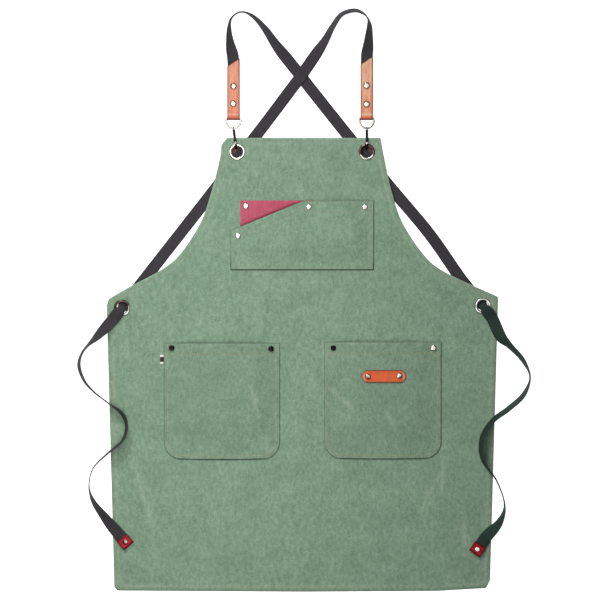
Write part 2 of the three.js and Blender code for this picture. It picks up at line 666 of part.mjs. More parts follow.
function addBibPocket() {
  const throughLining = BIB_RIVETS.filter(({ through }) => through.includes('lining'));
  const throughPocket = BIB_RIVETS.filter(({ through }) => through.includes('pocket'));
  const lining = sheet(rectangle(LINING_PATCH), CELL, liningUnder, LINING);
  const pocket = sheet(bibOutline(), POCKET_CELL, bibUnder, CANVAS);
  addPiece('bib_pocket_lining', toGeometry(pierce(lining, throughLining, SHANK_HOLE)), MATERIALS.red);
  addPiece('bib_pocket', toGeometry(pierce(pocket, throughPocket, SHANK_HOLE)), MATERIALS.canvas);
  const pocketTop = (x, y) => onLattice(x, y, POCKET_CELL, bibUnder) + CANVAS;
  const liningTop = (x, y) => panelTop(x, y) + GAP + LINING;
  for (const rivet of BIB_RIVETS) {
    const surface = rivet.through.includes('pocket') ? pocketTop : liningTop;
    const seat = highest(rivet.x, rivet.y, RIVET.cap, surface) + GAP;
    const shape = rivetShape({ back: backSeat(rivet), seat, disc: RIVET.back });
    addPiece(rivet.name, shape.translate(rivet.x, rivet.y, 0), MATERIALS.nickel);
  }
}

function addHipPockets() {
  for (const pocket of HIP_POCKETS) {
    const under = hipUnder(pocket);
    const top = (x, y) => onLattice(x, y, POCKET_CELL, under) + CANVAS;
    const rivets = HIP_RIVETS.filter((rivet) => rivet.pocket === pocket.name);
    let solid = pierce(sheet(hipOutline(pocket), POCKET_CELL, under, CANVAS), rivets, SHANK_HOLE);
    if (pocket.name === 'hip_pocket_right') {
      solid = pierce(solid, STRIP_RIVETS, SHANK_HOLE);
      addLeatherStrip(under, top);
    }
    addPiece(pocket.name, toGeometry(solid), MATERIALS.canvas);
    for (const rivet of rivets) {
      const seat = highest(rivet.x, rivet.y, RIVET.cap, top) + GAP;
      const shape = rivetShape({ back: backSeat(rivet), seat, disc: RIVET.back });
      const metal = rivet.dark ? MATERIALS.black : MATERIALS.nickel;
      addPiece(rivet.name, shape.translate(rivet.x, rivet.y, 0), metal);
    }
  }
  const { left, right, top, bottom, thickness } = LABEL;
  const label = new THREE.BoxGeometry(right - left, top - bottom, thickness);
  const [x, y] = [(left + right) / 2, (top + bottom) / 2];
  const rest = highest(x, y, (top - bottom) / 2, panelTop) + GAP;
  addPiece('pocket_side_label', label.translate(x, y, rest + thickness / 2), MATERIALS.label);
}

function addLeatherStrip(pocketUnder, pocketTop) {
  const { left, right, top, bottom, thickness, round } = STRIP;
  const shape = new THREE.Shape();
  shape.moveTo(right - round, top);
  shape.lineTo(left + round, top);
  shape.absarc(left + round, top - round, round, Math.PI / 2, Math.PI, false);
  shape.absarc(left + round, bottom + round, round, Math.PI, 1.5 * Math.PI, false);
  shape.absarc(right - round, bottom + round, round, 1.5 * Math.PI, 2 * Math.PI, false);
  shape.absarc(right - round, top - round, round, 0, Math.PI / 2, false);
  const under = (x, y) => pocketUnder(x, y) + CANVAS + GAP;
  const strip = pierce(sheet(shape, POCKET_CELL, under, thickness), STRIP_RIVETS, SHANK_HOLE);
  addPiece('leather_strip', toGeometry(strip), MATERIALS.tan);
  for (const { name, x, y } of STRIP_RIVETS) {
    const back = highest(x, y, RIVET.shank, pocketTop) - CANVAS;
    const seat = highest(x, y, RIVET.cap, pocketTop) + GAP + thickness + GAP;
    addPiece(name, rivetShape({ back, seat }).translate(x, y, 0), MATERIALS.nickel);
  }
}

function addGrommets() {
  for (const { name, x, y } of GROMMETS) {
    addPiece(name, grommetShape().translate(x, y, panelUnder(x, y)), MATERIALS.nickel);
  }
}

function addShoulder(shoulder) {
  const { side, x, lean, rivets } = shoulder;
  const barHeight = TAB.leather + TAB.inside / 2;
  const barY = TAB.foldY + barHeight;
  addPiece(`shoulder_tab_${side}`, tabShape(shoulder), MATERIALS.tan);
  addPiece(`d_ring_${side}`, ringShape().translate(x, barY, barHeight), MATERIALS.nickel);
  const seat = 2 * TAB.leather + TAB.inside + GAP;
  rivets.forEach((y, k) => {
    const name = `rivet_tab_${side}_${k === 0 ? 'upper' : 'lower'}`;
    addPiece(name, rivetShape({ back: GAP / 2, seat }).translate(x, y, 0), MATERIALS.nickel);
  });
  const hook = new THREE.Group();
  hook.position.set(x, barY - RING.drop, 0);
  hook.rotation.z = degToRad(lean);
  addPiece(`snap_hook_${side}`, hookShape(barHeight + RING.rise), MATERIALS.black, hook);
  group.add(hook);
}

// A tie ends in a fold of red leather with a rivet through it.
function addStrap(strap) {
  const rows = strapRows(strap);
  const [before, end] = rows.slice(-2).map(({ x, y, z }) => new THREE.Vector3(x, y, z));
  const heading = end.clone().sub(before).setZ(0).normalize();
  const shoulder = SHOULDERS.find(({ side }) => strap.name.includes(side));
  const fold = TIP.leather + TIP.inside / 2;
  const nose = end.clone().addScaledVector(heading, fold);
  const pin = nose.clone().addScaledVector(heading, -TIP.rivet);
  const pins = [...shoulder.rivets.map((y) => ({ x: shoulder.x, y })), pin];
  addPiece(strap.name, toGeometry(pierce(toSolid(strapShape(rows)), pins, SHANK_HOLE)), MATERIALS.webbing);

  const holder = new THREE.Group();
  holder.position.set(nose.x, nose.y, end.z - fold);
  holder.rotation.z = Math.atan2(-heading.y, -heading.x) - Math.PI / 2;
  const leather = pierce(toSolid(foldShape(TIP)), [{ x: 0, y: TIP.rivet }], SHANK_HOLE);
  addPiece(`strap_tip_${strap.tip}`, toGeometry(leather), MATERIALS.redLeather, holder);
  const rivet = rivetShape({ back: GAP / 2, seat: 2 * fold + GAP }).translate(0, TIP.rivet, 0);
  addPiece(`rivet_tip_${strap.tip}`, rivet, MATERIALS.nickel, holder);
  group.add(holder);
}

addPanel();
addBibPocket();
addHipPockets();
addGrommets();
SHOULDERS.forEach(addShoulder);
STRAPS.forEach(addStrap);

export default group;
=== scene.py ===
# %% [markdown]
# A cross-back work apron in washed canvas, laid flat and seen from straight above. The CAD model gives
# every piece its size and its place. This script gives the pieces their looks: cloth that lies in soft
# waves, hems and seams, woven straps, folded leather and polished metal. Lengths in the tables are
# millimetres, as in the CAD model, and become metres when a mesh is made.

# %% Load the frame
import json
import math

import bpy
import numpy as np
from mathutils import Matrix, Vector

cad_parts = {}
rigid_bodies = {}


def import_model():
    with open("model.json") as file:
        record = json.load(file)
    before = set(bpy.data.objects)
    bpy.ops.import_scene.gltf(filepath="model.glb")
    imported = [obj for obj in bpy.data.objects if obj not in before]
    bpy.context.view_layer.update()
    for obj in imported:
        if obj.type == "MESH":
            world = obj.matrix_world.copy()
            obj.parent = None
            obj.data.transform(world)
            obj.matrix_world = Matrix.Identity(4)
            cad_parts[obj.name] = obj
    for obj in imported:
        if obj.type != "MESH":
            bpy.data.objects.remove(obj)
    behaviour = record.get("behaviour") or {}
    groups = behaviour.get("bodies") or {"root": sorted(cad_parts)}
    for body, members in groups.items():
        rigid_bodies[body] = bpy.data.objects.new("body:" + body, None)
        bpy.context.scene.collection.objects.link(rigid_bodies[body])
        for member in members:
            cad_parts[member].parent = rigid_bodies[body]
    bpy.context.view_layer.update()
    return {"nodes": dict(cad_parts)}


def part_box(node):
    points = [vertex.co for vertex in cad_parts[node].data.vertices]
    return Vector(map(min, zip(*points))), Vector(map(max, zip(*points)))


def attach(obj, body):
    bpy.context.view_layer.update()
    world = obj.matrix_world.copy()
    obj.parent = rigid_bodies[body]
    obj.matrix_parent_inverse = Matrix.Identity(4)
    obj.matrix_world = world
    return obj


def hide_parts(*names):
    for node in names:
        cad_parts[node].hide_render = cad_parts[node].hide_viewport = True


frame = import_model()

MM = 0.001
print("CAD nodes:", len(frame["nodes"]))

# %% [markdown]
# A catalogue picture of flat cloth shows no vanishing lines. An orthographic camera would give that, but a
# long lens far away does too and still behaves like a real one, so it hangs high above the floor. The
# picture is square, and one pixel of its 600 covers 1.77 mm of floor.

# %% Camera
PICTURE = {"pixels": 600, "mm_per_pixel": 1.77, "centre": (-5.3, 1.8)}
CAMERA = {"height": 6000, "sensor": 36, "sees_to": 100000}


def add_camera():
    lens = bpy.data.cameras.new("camera")
    lens.sensor_width = CAMERA["sensor"]
    lens.lens = CAMERA["sensor"] * CAMERA["height"] / (PICTURE["pixels"] * PICTURE["mm_per_pixel"])
    lens.clip_end = CAMERA["sees_to"] * MM
    camera = bpy.data.objects.new("camera", lens)
    x, y = PICTURE["centre"]
    camera.location = (x * MM, y * MM, CAMERA["height"] * MM)
    bpy.context.scene.collection.objects.link(camera)
    bpy.context.scene.camera = camera
    return lens.lens


print("lens in mm:", round(add_camera(), 1))

# %% [markdown]
# A finish in Blender is a graph of nodes. Wiring it node by node is long to read, and sums read best as
# sums, so the class Wire holds one output socket, and a sum on it adds Math nodes.

# %% Shader sums
class Wire:
    """An output socket that takes part in Python sums."""

    def __init__(self, finish, socket):
        self.finish = finish
        self.socket = socket

    def math(self, operation, *values):
        return self.finish.node("ShaderNodeMath", {"operation": operation}, dict(enumerate(values)))

    def __add__(self, other):
        return self.math("ADD", self, other)

    def __sub__(self, other):
        return self.math("SUBTRACT", self, other)

    def __rsub__(self, other):
        return self.math("SUBTRACT", other, self)

    def __mul__(self, other):
        return self.math("MULTIPLY", self, other)

    def __truediv__(self, other):
        return self.math("DIVIDE", self, other)

    def __rtruediv__(self, other):
        return self.math("DIVIDE", other, self)

    __radd__, __rmul__ = __add__, __mul__

    def sine(self):
        return self.math("SINE", self)

    def unsigned(self):
        return self.math("ABSOLUTE", self)

    def clamp(self):
        return self.finish.node("ShaderNodeClamp", {}, {"Value": self})


print("class made:", Wire.__name__)

# %% [markdown]
# The class Finish holds a material and its surface shader. Its method node adds any node: settings first,
# because they can change which sockets there are, and then the sockets. The other methods are short names
# for what many finishes use. Colours are written here as a screen shows them, from 0 to 255, but shaders
# take linear values, so the function linear turns one into the other.

# %% Finishes
NOISE_ROUGHNESS = 0.55
MIX = {"share": 0, "first": 6, "second": 7, "result": 2}  # colour sockets of a Mix node, whose names repeat


class Finish:
    """A material, its surface shader and the nodes that feed it."""

    def __init__(self, name):
        self.material = bpy.data.materials.new(name)
        self.material.use_nodes = True
        self.tree = self.material.node_tree
        self.surface = self.tree.nodes["Principled BSDF"]

    def set(self, socket, value):
        if isinstance(value, Wire):
            self.tree.links.new(value.socket, socket)
        elif isinstance(value, tuple) and len(value) == 3 and socket.type == "RGBA":
            socket.default_value = (*value, 1)
        else:
            socket.default_value = value

    def node(self, kind, settings, sockets, output=0):
        made = self.tree.nodes.new(kind)
        for name, value in settings.items():
            setattr(made, name, value)
        for name, value in sockets.items():
            self.set(made.inputs[name], value)
        return Wire(self, made.outputs[output])

    def look(self, **sockets):
        for name, value in sockets.items():
            self.set(self.surface.inputs[name.replace("_", " ")], value)
        return self.material

    def place(self):
        """Object coordinates in millimetres."""
        here = self.node("ShaderNodeTexCoord", {}, {}, output="Object")
        return self.vector("SCALE", {0: here, "Scale": 1 / MM})

    def vector(self, operation, sockets, output=0):
        return self.node("ShaderNodeVectorMath", {"operation": operation}, sockets, output)

    def axis(self, place, name):
        return self.node("ShaderNodeSeparateXYZ", {}, {0: place}, output=name)

    def noise(self, place, size, detail=2.0, stretch=(1, 1, 1)):
        """Noise from 0 to 1 whose blotches are about so many millimetres wide."""
        drawn_out = self.vector("MULTIPLY", {0: place, 1: stretch})
        sockets = {"Vector": drawn_out, "Scale": 1 / size, "Detail": detail, "Roughness": NOISE_ROUGHNESS}
        return self.node("ShaderNodeTexNoise", {"noise_dimensions": "3D"}, sockets)

    def mix(self, share, first, second):
        sockets = {MIX["share"]: share, MIX["first"]: first, MIX["second"]: second}
        return self.node("ShaderNodeMix", {"data_type": "RGBA"}, sockets, MIX["result"])

    def attribute(self, name):
        return self.node("ShaderNodeAttribute", {"attribute_name": name}, {}, output="Fac")

    def bump(self, height, depth, strength):
        sockets = {"Height": height, "Distance": depth * MM, "Strength": strength}
        return self.node("ShaderNodeBump", {}, sockets)


def linear(red, green, blue):
    """A colour as seen on a screen, from 0 to 255, as the linear values that a shader takes."""
    share = np.array([red, green, blue]) / 255
    return tuple(np.where(share <= 0.04045, share / 12.92, ((share + 0.055) / 1.055) ** 2.4).tolist())


print("screen grey 128 as light:", round(linear(128, 128, 128)[0], 3))

# %% [markdown]
# Washed canvas is mottled: dye has gone from the high threads, in short streaks along the warp and in wide
# soft clouds, and washing leaves fine pale creases. Threads could be modelled one by one, but they are
# finer than a pixel, so two crossed waves raise the weave as bump. The attribute rub, painted on the mesh
# along hems and folds, bleaches the cloth there. The attribute shade is painted shadow on the edge of a
# pocket where it turns down and on the lining along the pocket's mouth; it also darkens the hip pockets a
# little all over.

# %% Canvas and lining
THREAD_PITCH = 1.1
CLOTH_GRAIN = {"cloud": 40, "streak": 5.0, "fleck": 1.9, "wrinkle": 24}  # widths of the blotches
WARP = (1, 0.55, 1)  # draws the streaks out along the cloth
TONE = {"cloud": 0.55, "streak": 1.05, "fleck": 0.95, "from": 0.775}  # what each adds to the paler dye
RELIEF = {"weave": 0.3, "fleck": 0.25, "wrinkle": 3, "line": 0.4}
VEINS = {"patch": 15, "wander": 17, "wander_size": 21, "width": 0.075, "sharp": 16}
VEIN_FADE = {"size": 33, "gain": 2.4, "from": 0.75}  # where veins show and where they fade out


def weave(finish, place):
    """Height of a plain weave: warp and weft go over each other in turn."""
    across = finish.axis(place, "X") * (math.pi / THREAD_PITCH)
    along = finish.axis(place, "Y") * (math.pi / THREAD_PITCH)
    return across.sine() * along.sine() * 0.5 + 0.5


def veins(finish, place):
    """Thin pale lines that wander between patches, as on cloth that was creased in the wash: 1 on a line."""
    sockets = {"Vector": place, "Scale": 1 / VEINS["wander_size"], "Detail": 2.0}
    shift = finish.node("ShaderNodeTexNoise", {"noise_dimensions": "3D"}, sockets, output="Color")
    bent = finish.vector("ADD", {0: place, 1: finish.vector("SCALE", {0: shift, "Scale": VEINS["wander"]})})
    settings = {"voronoi_dimensions": "2D", "feature": "DISTANCE_TO_EDGE"}
    edge = finish.node("ShaderNodeTexVoronoi", settings, {"Vector": bent, "Scale": 1 / VEINS["patch"]})
    line = ((VEINS["width"] - edge) * VEINS["sharp"]).clamp()
    shown = finish.noise(place, VEIN_FADE["size"]) * VEIN_FADE["gain"] - VEIN_FADE["from"]
    return line * shown.clamp()


# The colour deep is painted shade, mixed in by the attribute shade.
def canvas_finish(name, dark, light, rubbed, deep):
    finish = Finish(name)
    place = finish.place()
    cloud = finish.noise(place, CLOTH_GRAIN["cloud"], 3.0)
    streak = finish.noise(place, CLOTH_GRAIN["streak"], 3.0, stretch=WARP)
    fleck = finish.noise(place, CLOTH_GRAIN["fleck"], 1.0)
    wrinkle = finish.noise(place, CLOTH_GRAIN["wrinkle"], 2.0)
    line = veins(finish, place)
    tone = cloud * TONE["cloud"] + streak * TONE["streak"] + fleck * TONE["fleck"] - TONE["from"]
    worn = finish.attribute("rub") * (streak * 0.8 + 0.3) + line * 0.3
    colour = finish.mix(worn.clamp(), finish.mix(tone.clamp(), dark, light), rubbed)
    height = weave(finish, place) * RELIEF["weave"] + fleck * RELIEF["fleck"]
    height = height + wrinkle * RELIEF["wrinkle"] + line * RELIEF["line"]
    return finish.look(
        Base_Color=finish.mix(finish.attribute("shade"), colour, deep),
        Roughness=0.86 + 0.1 * fleck,
        Normal=finish.bump(height, 1.0, 0.6),
        Specular_IOR_Level=0.15,
        Sheen_Weight=0.05,
        Sheen_Roughness=0.6,
    )


CANVAS = canvas_finish(
    "canvas", dark=linear(96, 124, 100), light=linear(148, 174, 151), rubbed=linear(170, 188, 166),
    deep=linear(34, 52, 38),
)
RED_CLOTH = canvas_finish(
    "red_cloth", dark=linear(168, 70, 92), light=linear(200, 98, 118), rubbed=linear(214, 130, 148),
    deep=linear(80, 20, 36),
)
print("nodes in the canvas finish:", len(CANVAS.node_tree.nodes))

# %% [markdown]
# Webbing is charcoal cotton with ribs across it. Ribs could be bump, but the ties stand on edge and show
# them in outline, so they are real geometry, made further down, and the finish only needs flecks of paler
# fibre. The tie at the right is painted greener and darker by its place; the darkness is painted shade
# for the lower right, where less light falls. The sewing thread is tan, and paler on the bib.

# %% Webbing and thread
# The right tie is painted greener and darker; its darkness is painted shade.
GREENER_SHADED_TIE = {"x": 240, "x_run": 20, "y": 20, "y_run": 25}  # right of x and below y, each over a short run
BIB_THREAD = {"run": 60, "share": 0.6}
WEB_GRAIN = {"fibre": 1.3, "patch": 16}
THREAD_TWIST = 1.2


def webbing_finish():
    finish = Finish("webbing")
    place = finish.place()
    fibre = finish.noise(place, WEB_GRAIN["fibre"], 2.0)
    patch = finish.noise(place, WEB_GRAIN["patch"], 2.0)
    grey = finish.mix((fibre * 0.8 + patch * 0.4 - 0.2).clamp(), linear(43, 41, 44), linear(74, 71, 75))
    green = finish.mix(fibre, linear(24, 38, 32), linear(52, 70, 62))
    at_right = ((finish.axis(place, "X") - GREENER_SHADED_TIE["x"]) / GREENER_SHADED_TIE["x_run"]).clamp()
    below = ((GREENER_SHADED_TIE["y"] - finish.axis(place, "Y")) / GREENER_SHADED_TIE["y_run"]).clamp()
    return finish.look(
        Base_Color=finish.mix(at_right * below, grey, green),
        Roughness=0.75 + 0.2 * fibre,
        Normal=finish.bump(fibre, 0.2, 0.4),
        Specular_IOR_Level=0.2,
    )


def thread_finish():
    finish = Finish("thread")
    place = finish.place()
    twist = finish.noise(place, THREAD_TWIST, 1.0)
    tan = finish.mix(twist, linear(152, 146, 100), linear(190, 180, 132))
    on_bib = (finish.axis(place, "Y") / BIB_THREAD["run"]).clamp() * BIB_THREAD["share"]
    return finish.look(
        Base_Color=finish.mix(on_bib, tan, linear(142, 160, 136)),
        Roughness=0.6 + 0.25 * twist,
        Normal=finish.bump(twist, 0.1, 0.5),
    )


WEBBING = webbing_finish()
THREAD = thread_finish()
print("thread and webbing:", THREAD.name, WEBBING.name)

# %% [markdown]
# Tan leather is glossy, with a fine grain, and its cut edges are burnished dark. Where a strip is cut or
# catches the light depends on its shape, not on its place, so each leather mesh carries two attributes:
# edge, which is 1 on the cut edges and also paints shade in a fold, and pale, a painted highlight where
# the glossy leather catches the light.

# %% Leather
LEATHER_GRAIN = {"cloud": 11, "fibre": 2.6, "pores": 0.9}
FIBRE_STRETCH = (1, 0.12, 1)


def leather_finish(name, deep, bright, highlight_colour, burnt_and_shaded, gloss, shine):
    finish = Finish(name)
    place = finish.place()
    cloud = finish.noise(place, LEATHER_GRAIN["cloud"], 3.0)
    fibre = finish.noise(place, LEATHER_GRAIN["fibre"], 2.0, stretch=FIBRE_STRETCH)
    pores = finish.noise(place, LEATHER_GRAIN["pores"], 2.0)
    colour = finish.mix((cloud * 1.0 + fibre * 0.8 - 0.4).clamp(), deep, bright)
    # The attribute pale lays a painted highlight over the leather.
    highlight = finish.attribute("pale") * (fibre * 2.4 - 0.2)
    colour = finish.mix(highlight.clamp(), colour, highlight_colour)
    # The attribute edge darkens the cut edges, and the fold as painted shade.
    cut = finish.attribute("edge") * (0.75 + 0.5 * cloud)
    return finish.look(
        Base_Color=finish.mix(cut.clamp(), colour, burnt_and_shaded),
        Roughness=gloss + 0.16 * pores,
        Normal=finish.bump(pores + cloud * 0.8, 0.22, 0.35),
        Specular_IOR_Level=shine,
        Coat_Weight=0.2 * shine,
        Coat_Roughness=0.22,
    )


TAN_LEATHER = leather_finish(
    "tan_leather", deep=linear(194, 70, 16), bright=linear(226, 98, 28), highlight_colour=linear(224, 170, 138),
    burnt_and_shaded=linear(92, 42, 22), gloss=0.36, shine=0.42,
)
RED_LEATHER = leather_finish(
    "red_leather", deep=linear(132, 2, 12), bright=linear(190, 6, 26), highlight_colour=linear(212, 50, 60),
    burnt_and_shaded=linear(84, 4, 10), gloss=0.3, shine=0.1,
)
print("nodes in the leather finish:", len(TAN_LEATHER.node_tree.nodes))

# %% [markdown]
# The fittings are polished nickel with a warm cast, and some rivets and the snap hooks are nearly black.
# Metal shows little colour of its own, so fine scratches in the roughness do most of the work. The
# attribute rim, painted on the flanks of wires, caps and rolled edges, darkens them as a painted dark
# reflection of the dimmer surroundings.

# %% Metal
METAL_GRAIN = {"scratch": 0.7, "haze": 5}
SCRATCH_STRETCH = (1, 0.15, 1)


def metal_finish(name, tint, darker, dark_reflection_colour, rough):
    finish = Finish(name)
    place = finish.place()
    scratch = finish.noise(place, METAL_GRAIN["scratch"], 2.0, stretch=SCRATCH_STRETCH)
    haze = finish.noise(place, METAL_GRAIN["haze"], 2.0)
    # The attribute rim mixes in a painted dark reflection.
    dark_reflection_share = finish.attribute("rim") * (0.8 + 0.4 * haze)
    return finish.look(
        Base_Color=finish.mix(dark_reflection_share.clamp(), finish.mix(haze, tint, darker), dark_reflection_colour),
        Metallic=1.0,
        Roughness=rough + 0.1 * scratch + 0.08 * haze,
    )


NICKEL = metal_finish(
    "nickel", tint=linear(252, 247, 240), darker=linear(236, 222, 212), dark_reflection_colour=linear(84, 62, 56), rough=0.07
)
DARK_METAL = metal_finish(
    "dark_metal", tint=linear(38, 36, 38), darker=linear(20, 19, 20), dark_reflection_colour=linear(12, 11, 12), rough=0.14
)
print("materials, with the CAD model's own:", len(bpy.data.materials))

# %% [markdown]
# Every mesh is made from arrays of points in millimetres. Blender's own primitives would each need moving
# and joining, and arrays keep a piece's place in its mesh. A new piece is shaded smooth, rides on the one
# body of this part, and stands for the CAD nodes that it replaces.

# %% Mesh helpers
def raw_mesh(name, points, faces=(), edges=()):
    mesh = bpy.data.meshes.new(name)
    mesh.from_pydata((np.asarray(points, float) * MM).tolist(), list(edges), list(faces))
    return mesh


def place_in_scene(name, data):
    made = bpy.data.objects.new(name, data)
    bpy.context.scene.collection.objects.link(made)
    return made


def settle(piece, nodes=()):
    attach(piece, "root")
    if nodes:
        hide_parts(*nodes)


def add_piece(name, points, faces, material, nodes=()):
    mesh = raw_mesh(name, points, faces)
    mesh.polygons.foreach_set("use_smooth", [True] * len(mesh.polygons))
    mesh.materials.append(material)
    mesh.validate()
    piece = place_in_scene(name, mesh)
    settle(piece, nodes)
    return piece


def paint(mesh, name, values):
    layer = mesh.attributes.new(name, "FLOAT", "POINT")
    layer.data.foreach_set("value", np.asarray(values, np.float32))


def node_box(node):
    """Lowest and highest corner of a CAD node, in millimetres."""
    low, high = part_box(node)
    return np.array(low) / MM, np.array(high) / MM


def flat_box(node):
    low, high = node_box(node)
    return low[:2], high[:2]


def middle_of(node):
    low, high = node_box(node)
    return (low + high) / 2


print("panel box, mm:", [corner.round(1).tolist() for corner in node_box("body_panel")])

# %% [markdown]
# Two builders make nearly every shape here. One joins rings of points into a skin, as for wires, ribbons
# and folded strips. The other closes two matching sheets of quads into a slab with a thickness, as for
# cloth. A Solidify modifier could give cloth its thickness, but here the two sides differ at the hems.

# %% Skins and slabs
def skin(rings, closed=False):
    """Points and faces of rings joined into a skin, capped at both ends or joined round."""
    rings = [np.asarray(ring, float) for ring in rings]
    count, total = len(rings[0]), len(rings)
    faces = []
    for r in range(total if closed else total - 1):
        here, there = r * count, (r + 1) % total * count
        for k in range(count):
            after = (k + 1) % count
            faces.append((here + k, here + after, there + after, there + k))
    if not closed:
        faces.append(tuple(range(count))[::-1])
        faces.append(tuple(range((total - 1) * count, total * count)))
    return np.concatenate(rings), faces


def slab(x, y, top, under, quads):
    """Closes the top and the underside of a cloth; also says which points of the two were used."""
    quads = np.asarray(quads)
    count = len(x)
    starts, ends = quads.ravel(), np.roll(quads, -1, axis=1).ravel()
    there = set(zip(ends.tolist(), starts.tolist()))
    rim = [edge for edge in zip(starts.tolist(), ends.tolist()) if edge not in there]
    walls = [(b, a, a + count, b + count) for a, b in rim]
    faces = quads.tolist() + (quads[:, ::-1] + count).tolist() + walls
    points = np.concatenate([np.stack([x, y, top], 1), np.stack([x, y, under], 1)])
    used, order = np.unique(np.concatenate([np.ravel(face) for face in faces]), return_inverse=True)
    parts = np.split(order, np.cumsum([len(face) for face in faces])[:-1])
    return points[used], [tuple(part.tolist()) for part in parts], used


def paint_slab(piece, name, values, used):
    """Paints one value for each point of the flat cloth, on both of its sides."""
    paint(piece.data, name, np.tile(values, 2)[used])


def grid_quads(rows, columns):
    index = np.arange(rows * columns).reshape(rows, columns)
    corners = [index[1:, :-1], index[1:, 1:], index[:-1, 1:], index[:-1, :-1]]
    return np.stack(corners, axis=-1).reshape(-1, 4)


print("quads in a grid of 3 by 4 points:", len(grid_quads(3, 4)))

# %% [markdown]
# A little geometry is shared by many pieces: soft steps and bells shape heights and wear, and rings of
# points need the angles round a circle.

# %% Steps and turns
def smooth_step(value, low, high):
    share = np.clip((np.asarray(value, float) - low) / (high - low), 0, 1)
    return share * share * (3 - 2 * share)


def bell(distance, width):
    return np.exp(-((distance / width) ** 2))


def unit(vectors):
    return vectors / np.linalg.norm(vectors, axis=-1, keepdims=True)


def circle(count):
    """Angles of so many points round a circle."""
    return np.linspace(0, 2 * math.pi, count, endpoint=False)


def turned(points, angle, place):
    """Points turned about Z and moved to a place."""
    cos, sin = math.cos(angle), math.sin(angle)
    x, y, z = np.asarray(points, float).T
    return np.stack([x * cos - y * sin + place[0], x * sin + y * cos + place[1], z + place[2]], 1)


print("half way up a soft step:", float(smooth_step(0.5, 0, 1)))

# %% [markdown]
# Straps and armholes are typed as a few points and drawn as smooth curves through them. Blender's curve
# objects could do that, but their handles would have to be typed too. Distances from an edge shape the hems
# and place the wear.

# %% Curves and distances
LEAST_GAP = 1e-3  # keeps two points at one place from dividing by zero
TINY = 1e-12


def curve_through(points, steps, alpha):
    """A smooth curve through points, with so many steps a span; alpha 0.5 keeps tight turns free of loops."""
    points = np.asarray(points, float)
    ends = [2 * points[0] - points[1], *points, 2 * points[-1] - points[-2]]
    share = np.linspace(0, 1, steps, endpoint=False)[:, None]
    spans = []
    for a, b, c, d in zip(ends, ends[1:], ends[2:], ends[3:]):
        reaches = [np.linalg.norm((q - p)[:3]) ** (2 * alpha) for p, q in ((a, b), (b, c), (c, d))]
        da, db, dc = (max(reach, LEAST_GAP) ** 0.5 for reach in reaches)
        leave = ((b - a) / da - (c - a) / (da + db) + (c - b) / db) * db
        reach = ((c - b) / db - (d - b) / (db + dc) + (d - c) / dc) * db
        square = -3 * b + 3 * c - 2 * leave - reach
        cube = 2 * b - 2 * c + leave + reach
        spans.append(b + leave * share + square * share**2 + cube * share**3)
    return np.concatenate([*spans, points[-1:]])


def run_lengths(points):
    """Distance of each point from the first, along the line through them."""
    return np.concatenate([[0], np.cumsum(np.linalg.norm(np.diff(points, axis=0), axis=1))])


def at_lengths(points, lengths, wanted):
    return np.stack([np.interp(wanted, lengths, column) for column in points.T], axis=1)


def spread(points, count):
    """So many points, evenly along a line through the given ones."""
    points = np.asarray(points, float)
    lengths = run_lengths(points)
    return at_lengths(points, lengths, np.linspace(0, lengths[-1], count))


def segment_distance(x, y, start, end):
    (ax, ay), (bx, by) = start, end
    dx, dy = bx - ax, by - ay
    share = np.clip(((x - ax) * dx + (y - ay) * dy) / (dx * dx + dy * dy + TINY), 0, 1)
    return np.hypot(x - ax - share * dx, y - ay - share * dy)


def outline_distance(x, y, outline):
    """Distance of points from a closed outline."""
    best = np.full(np.shape(x), np.inf)
    for start, end in zip(outline, np.roll(outline, -1, axis=0)):
        best = np.minimum(best, segment_distance(x, y, start, end))
    return best


print("length round a corner of 3 and 4:", run_lengths(np.array([(0, 0), (3, 0), (3, 4)]))[-1])

# %% [markdown]
# The floor of a catalogue picture is plain and white. A white floor in a dim room looks grey, so it glows,
# except under the two eyes of the bib, where it is painted dark brown and doesn't glow: painted shade for
# the light that the canvas keeps out.

# %% Floor
FLOOR = {"side": 24000, "tone_size": 900, "glow": 0.9, "shade_from": 16, "shade_width": 4}
FLOOR_GREYS = (0.86, 0.9)
OPEN_EYES = ["grommet_bib_left", "grommet_bib_right"]


def painted_shade_under_eyes(finish, place):
    """Painted shade: 1 on the floor below an open eye, 0 elsewhere."""
    shades = []
    for node in OPEN_EYES:
        eye = (*middle_of(node)[:2].tolist(), 0.0)
        away = finish.vector("DISTANCE", {0: place, 1: eye}, output="Value")
        shades.append(((FLOOR["shade_from"] - away) / FLOOR["shade_width"]).clamp())
    return sum(shades)


def add_floor():
    half = FLOOR["side"] / 2
    corners = [(-half, -half, 0), (half, -half, 0), (half, half, 0), (-half, half, 0)]
    finish = Finish("floor")
    place = finish.place()
    low, high = ((grey, grey, grey) for grey in FLOOR_GREYS)
    colour = finish.mix(finish.noise(place, FLOOR["tone_size"], 1.0), low, high)
    # Below the open eyes the floor gets painted shade: a dark brown colour and no glow.
    shade = painted_shade_under_eyes(finish, place)
    finish.look(
        Base_Color=finish.mix(shade, colour, linear(120, 84, 80)),
        Roughness=0.95,
        Specular_IOR_Level=0.0,
        Emission_Color=finish.mix(shade, (1.0, 1.0, 1.0), (0.0, 0.0, 0.0)),
        Emission_Strength=FLOOR["glow"],
    )
    floor = place_in_scene("floor", raw_mesh("floor", corners, [(0, 1, 2, 3)]))
    floor.data.materials.append(finish.material)
    return floor


print("floor side, m:", add_floor().dimensions.x)

# %% [markdown]
# One soft lamp stands far off at the top, so lower edges throw thin shadows. Two nearer lamps hang over the
# left half, and their light falls off to the right. An even sky would make polished metal grey, so this one
# is brightest overhead, which is what the metal shows to a camera above it.

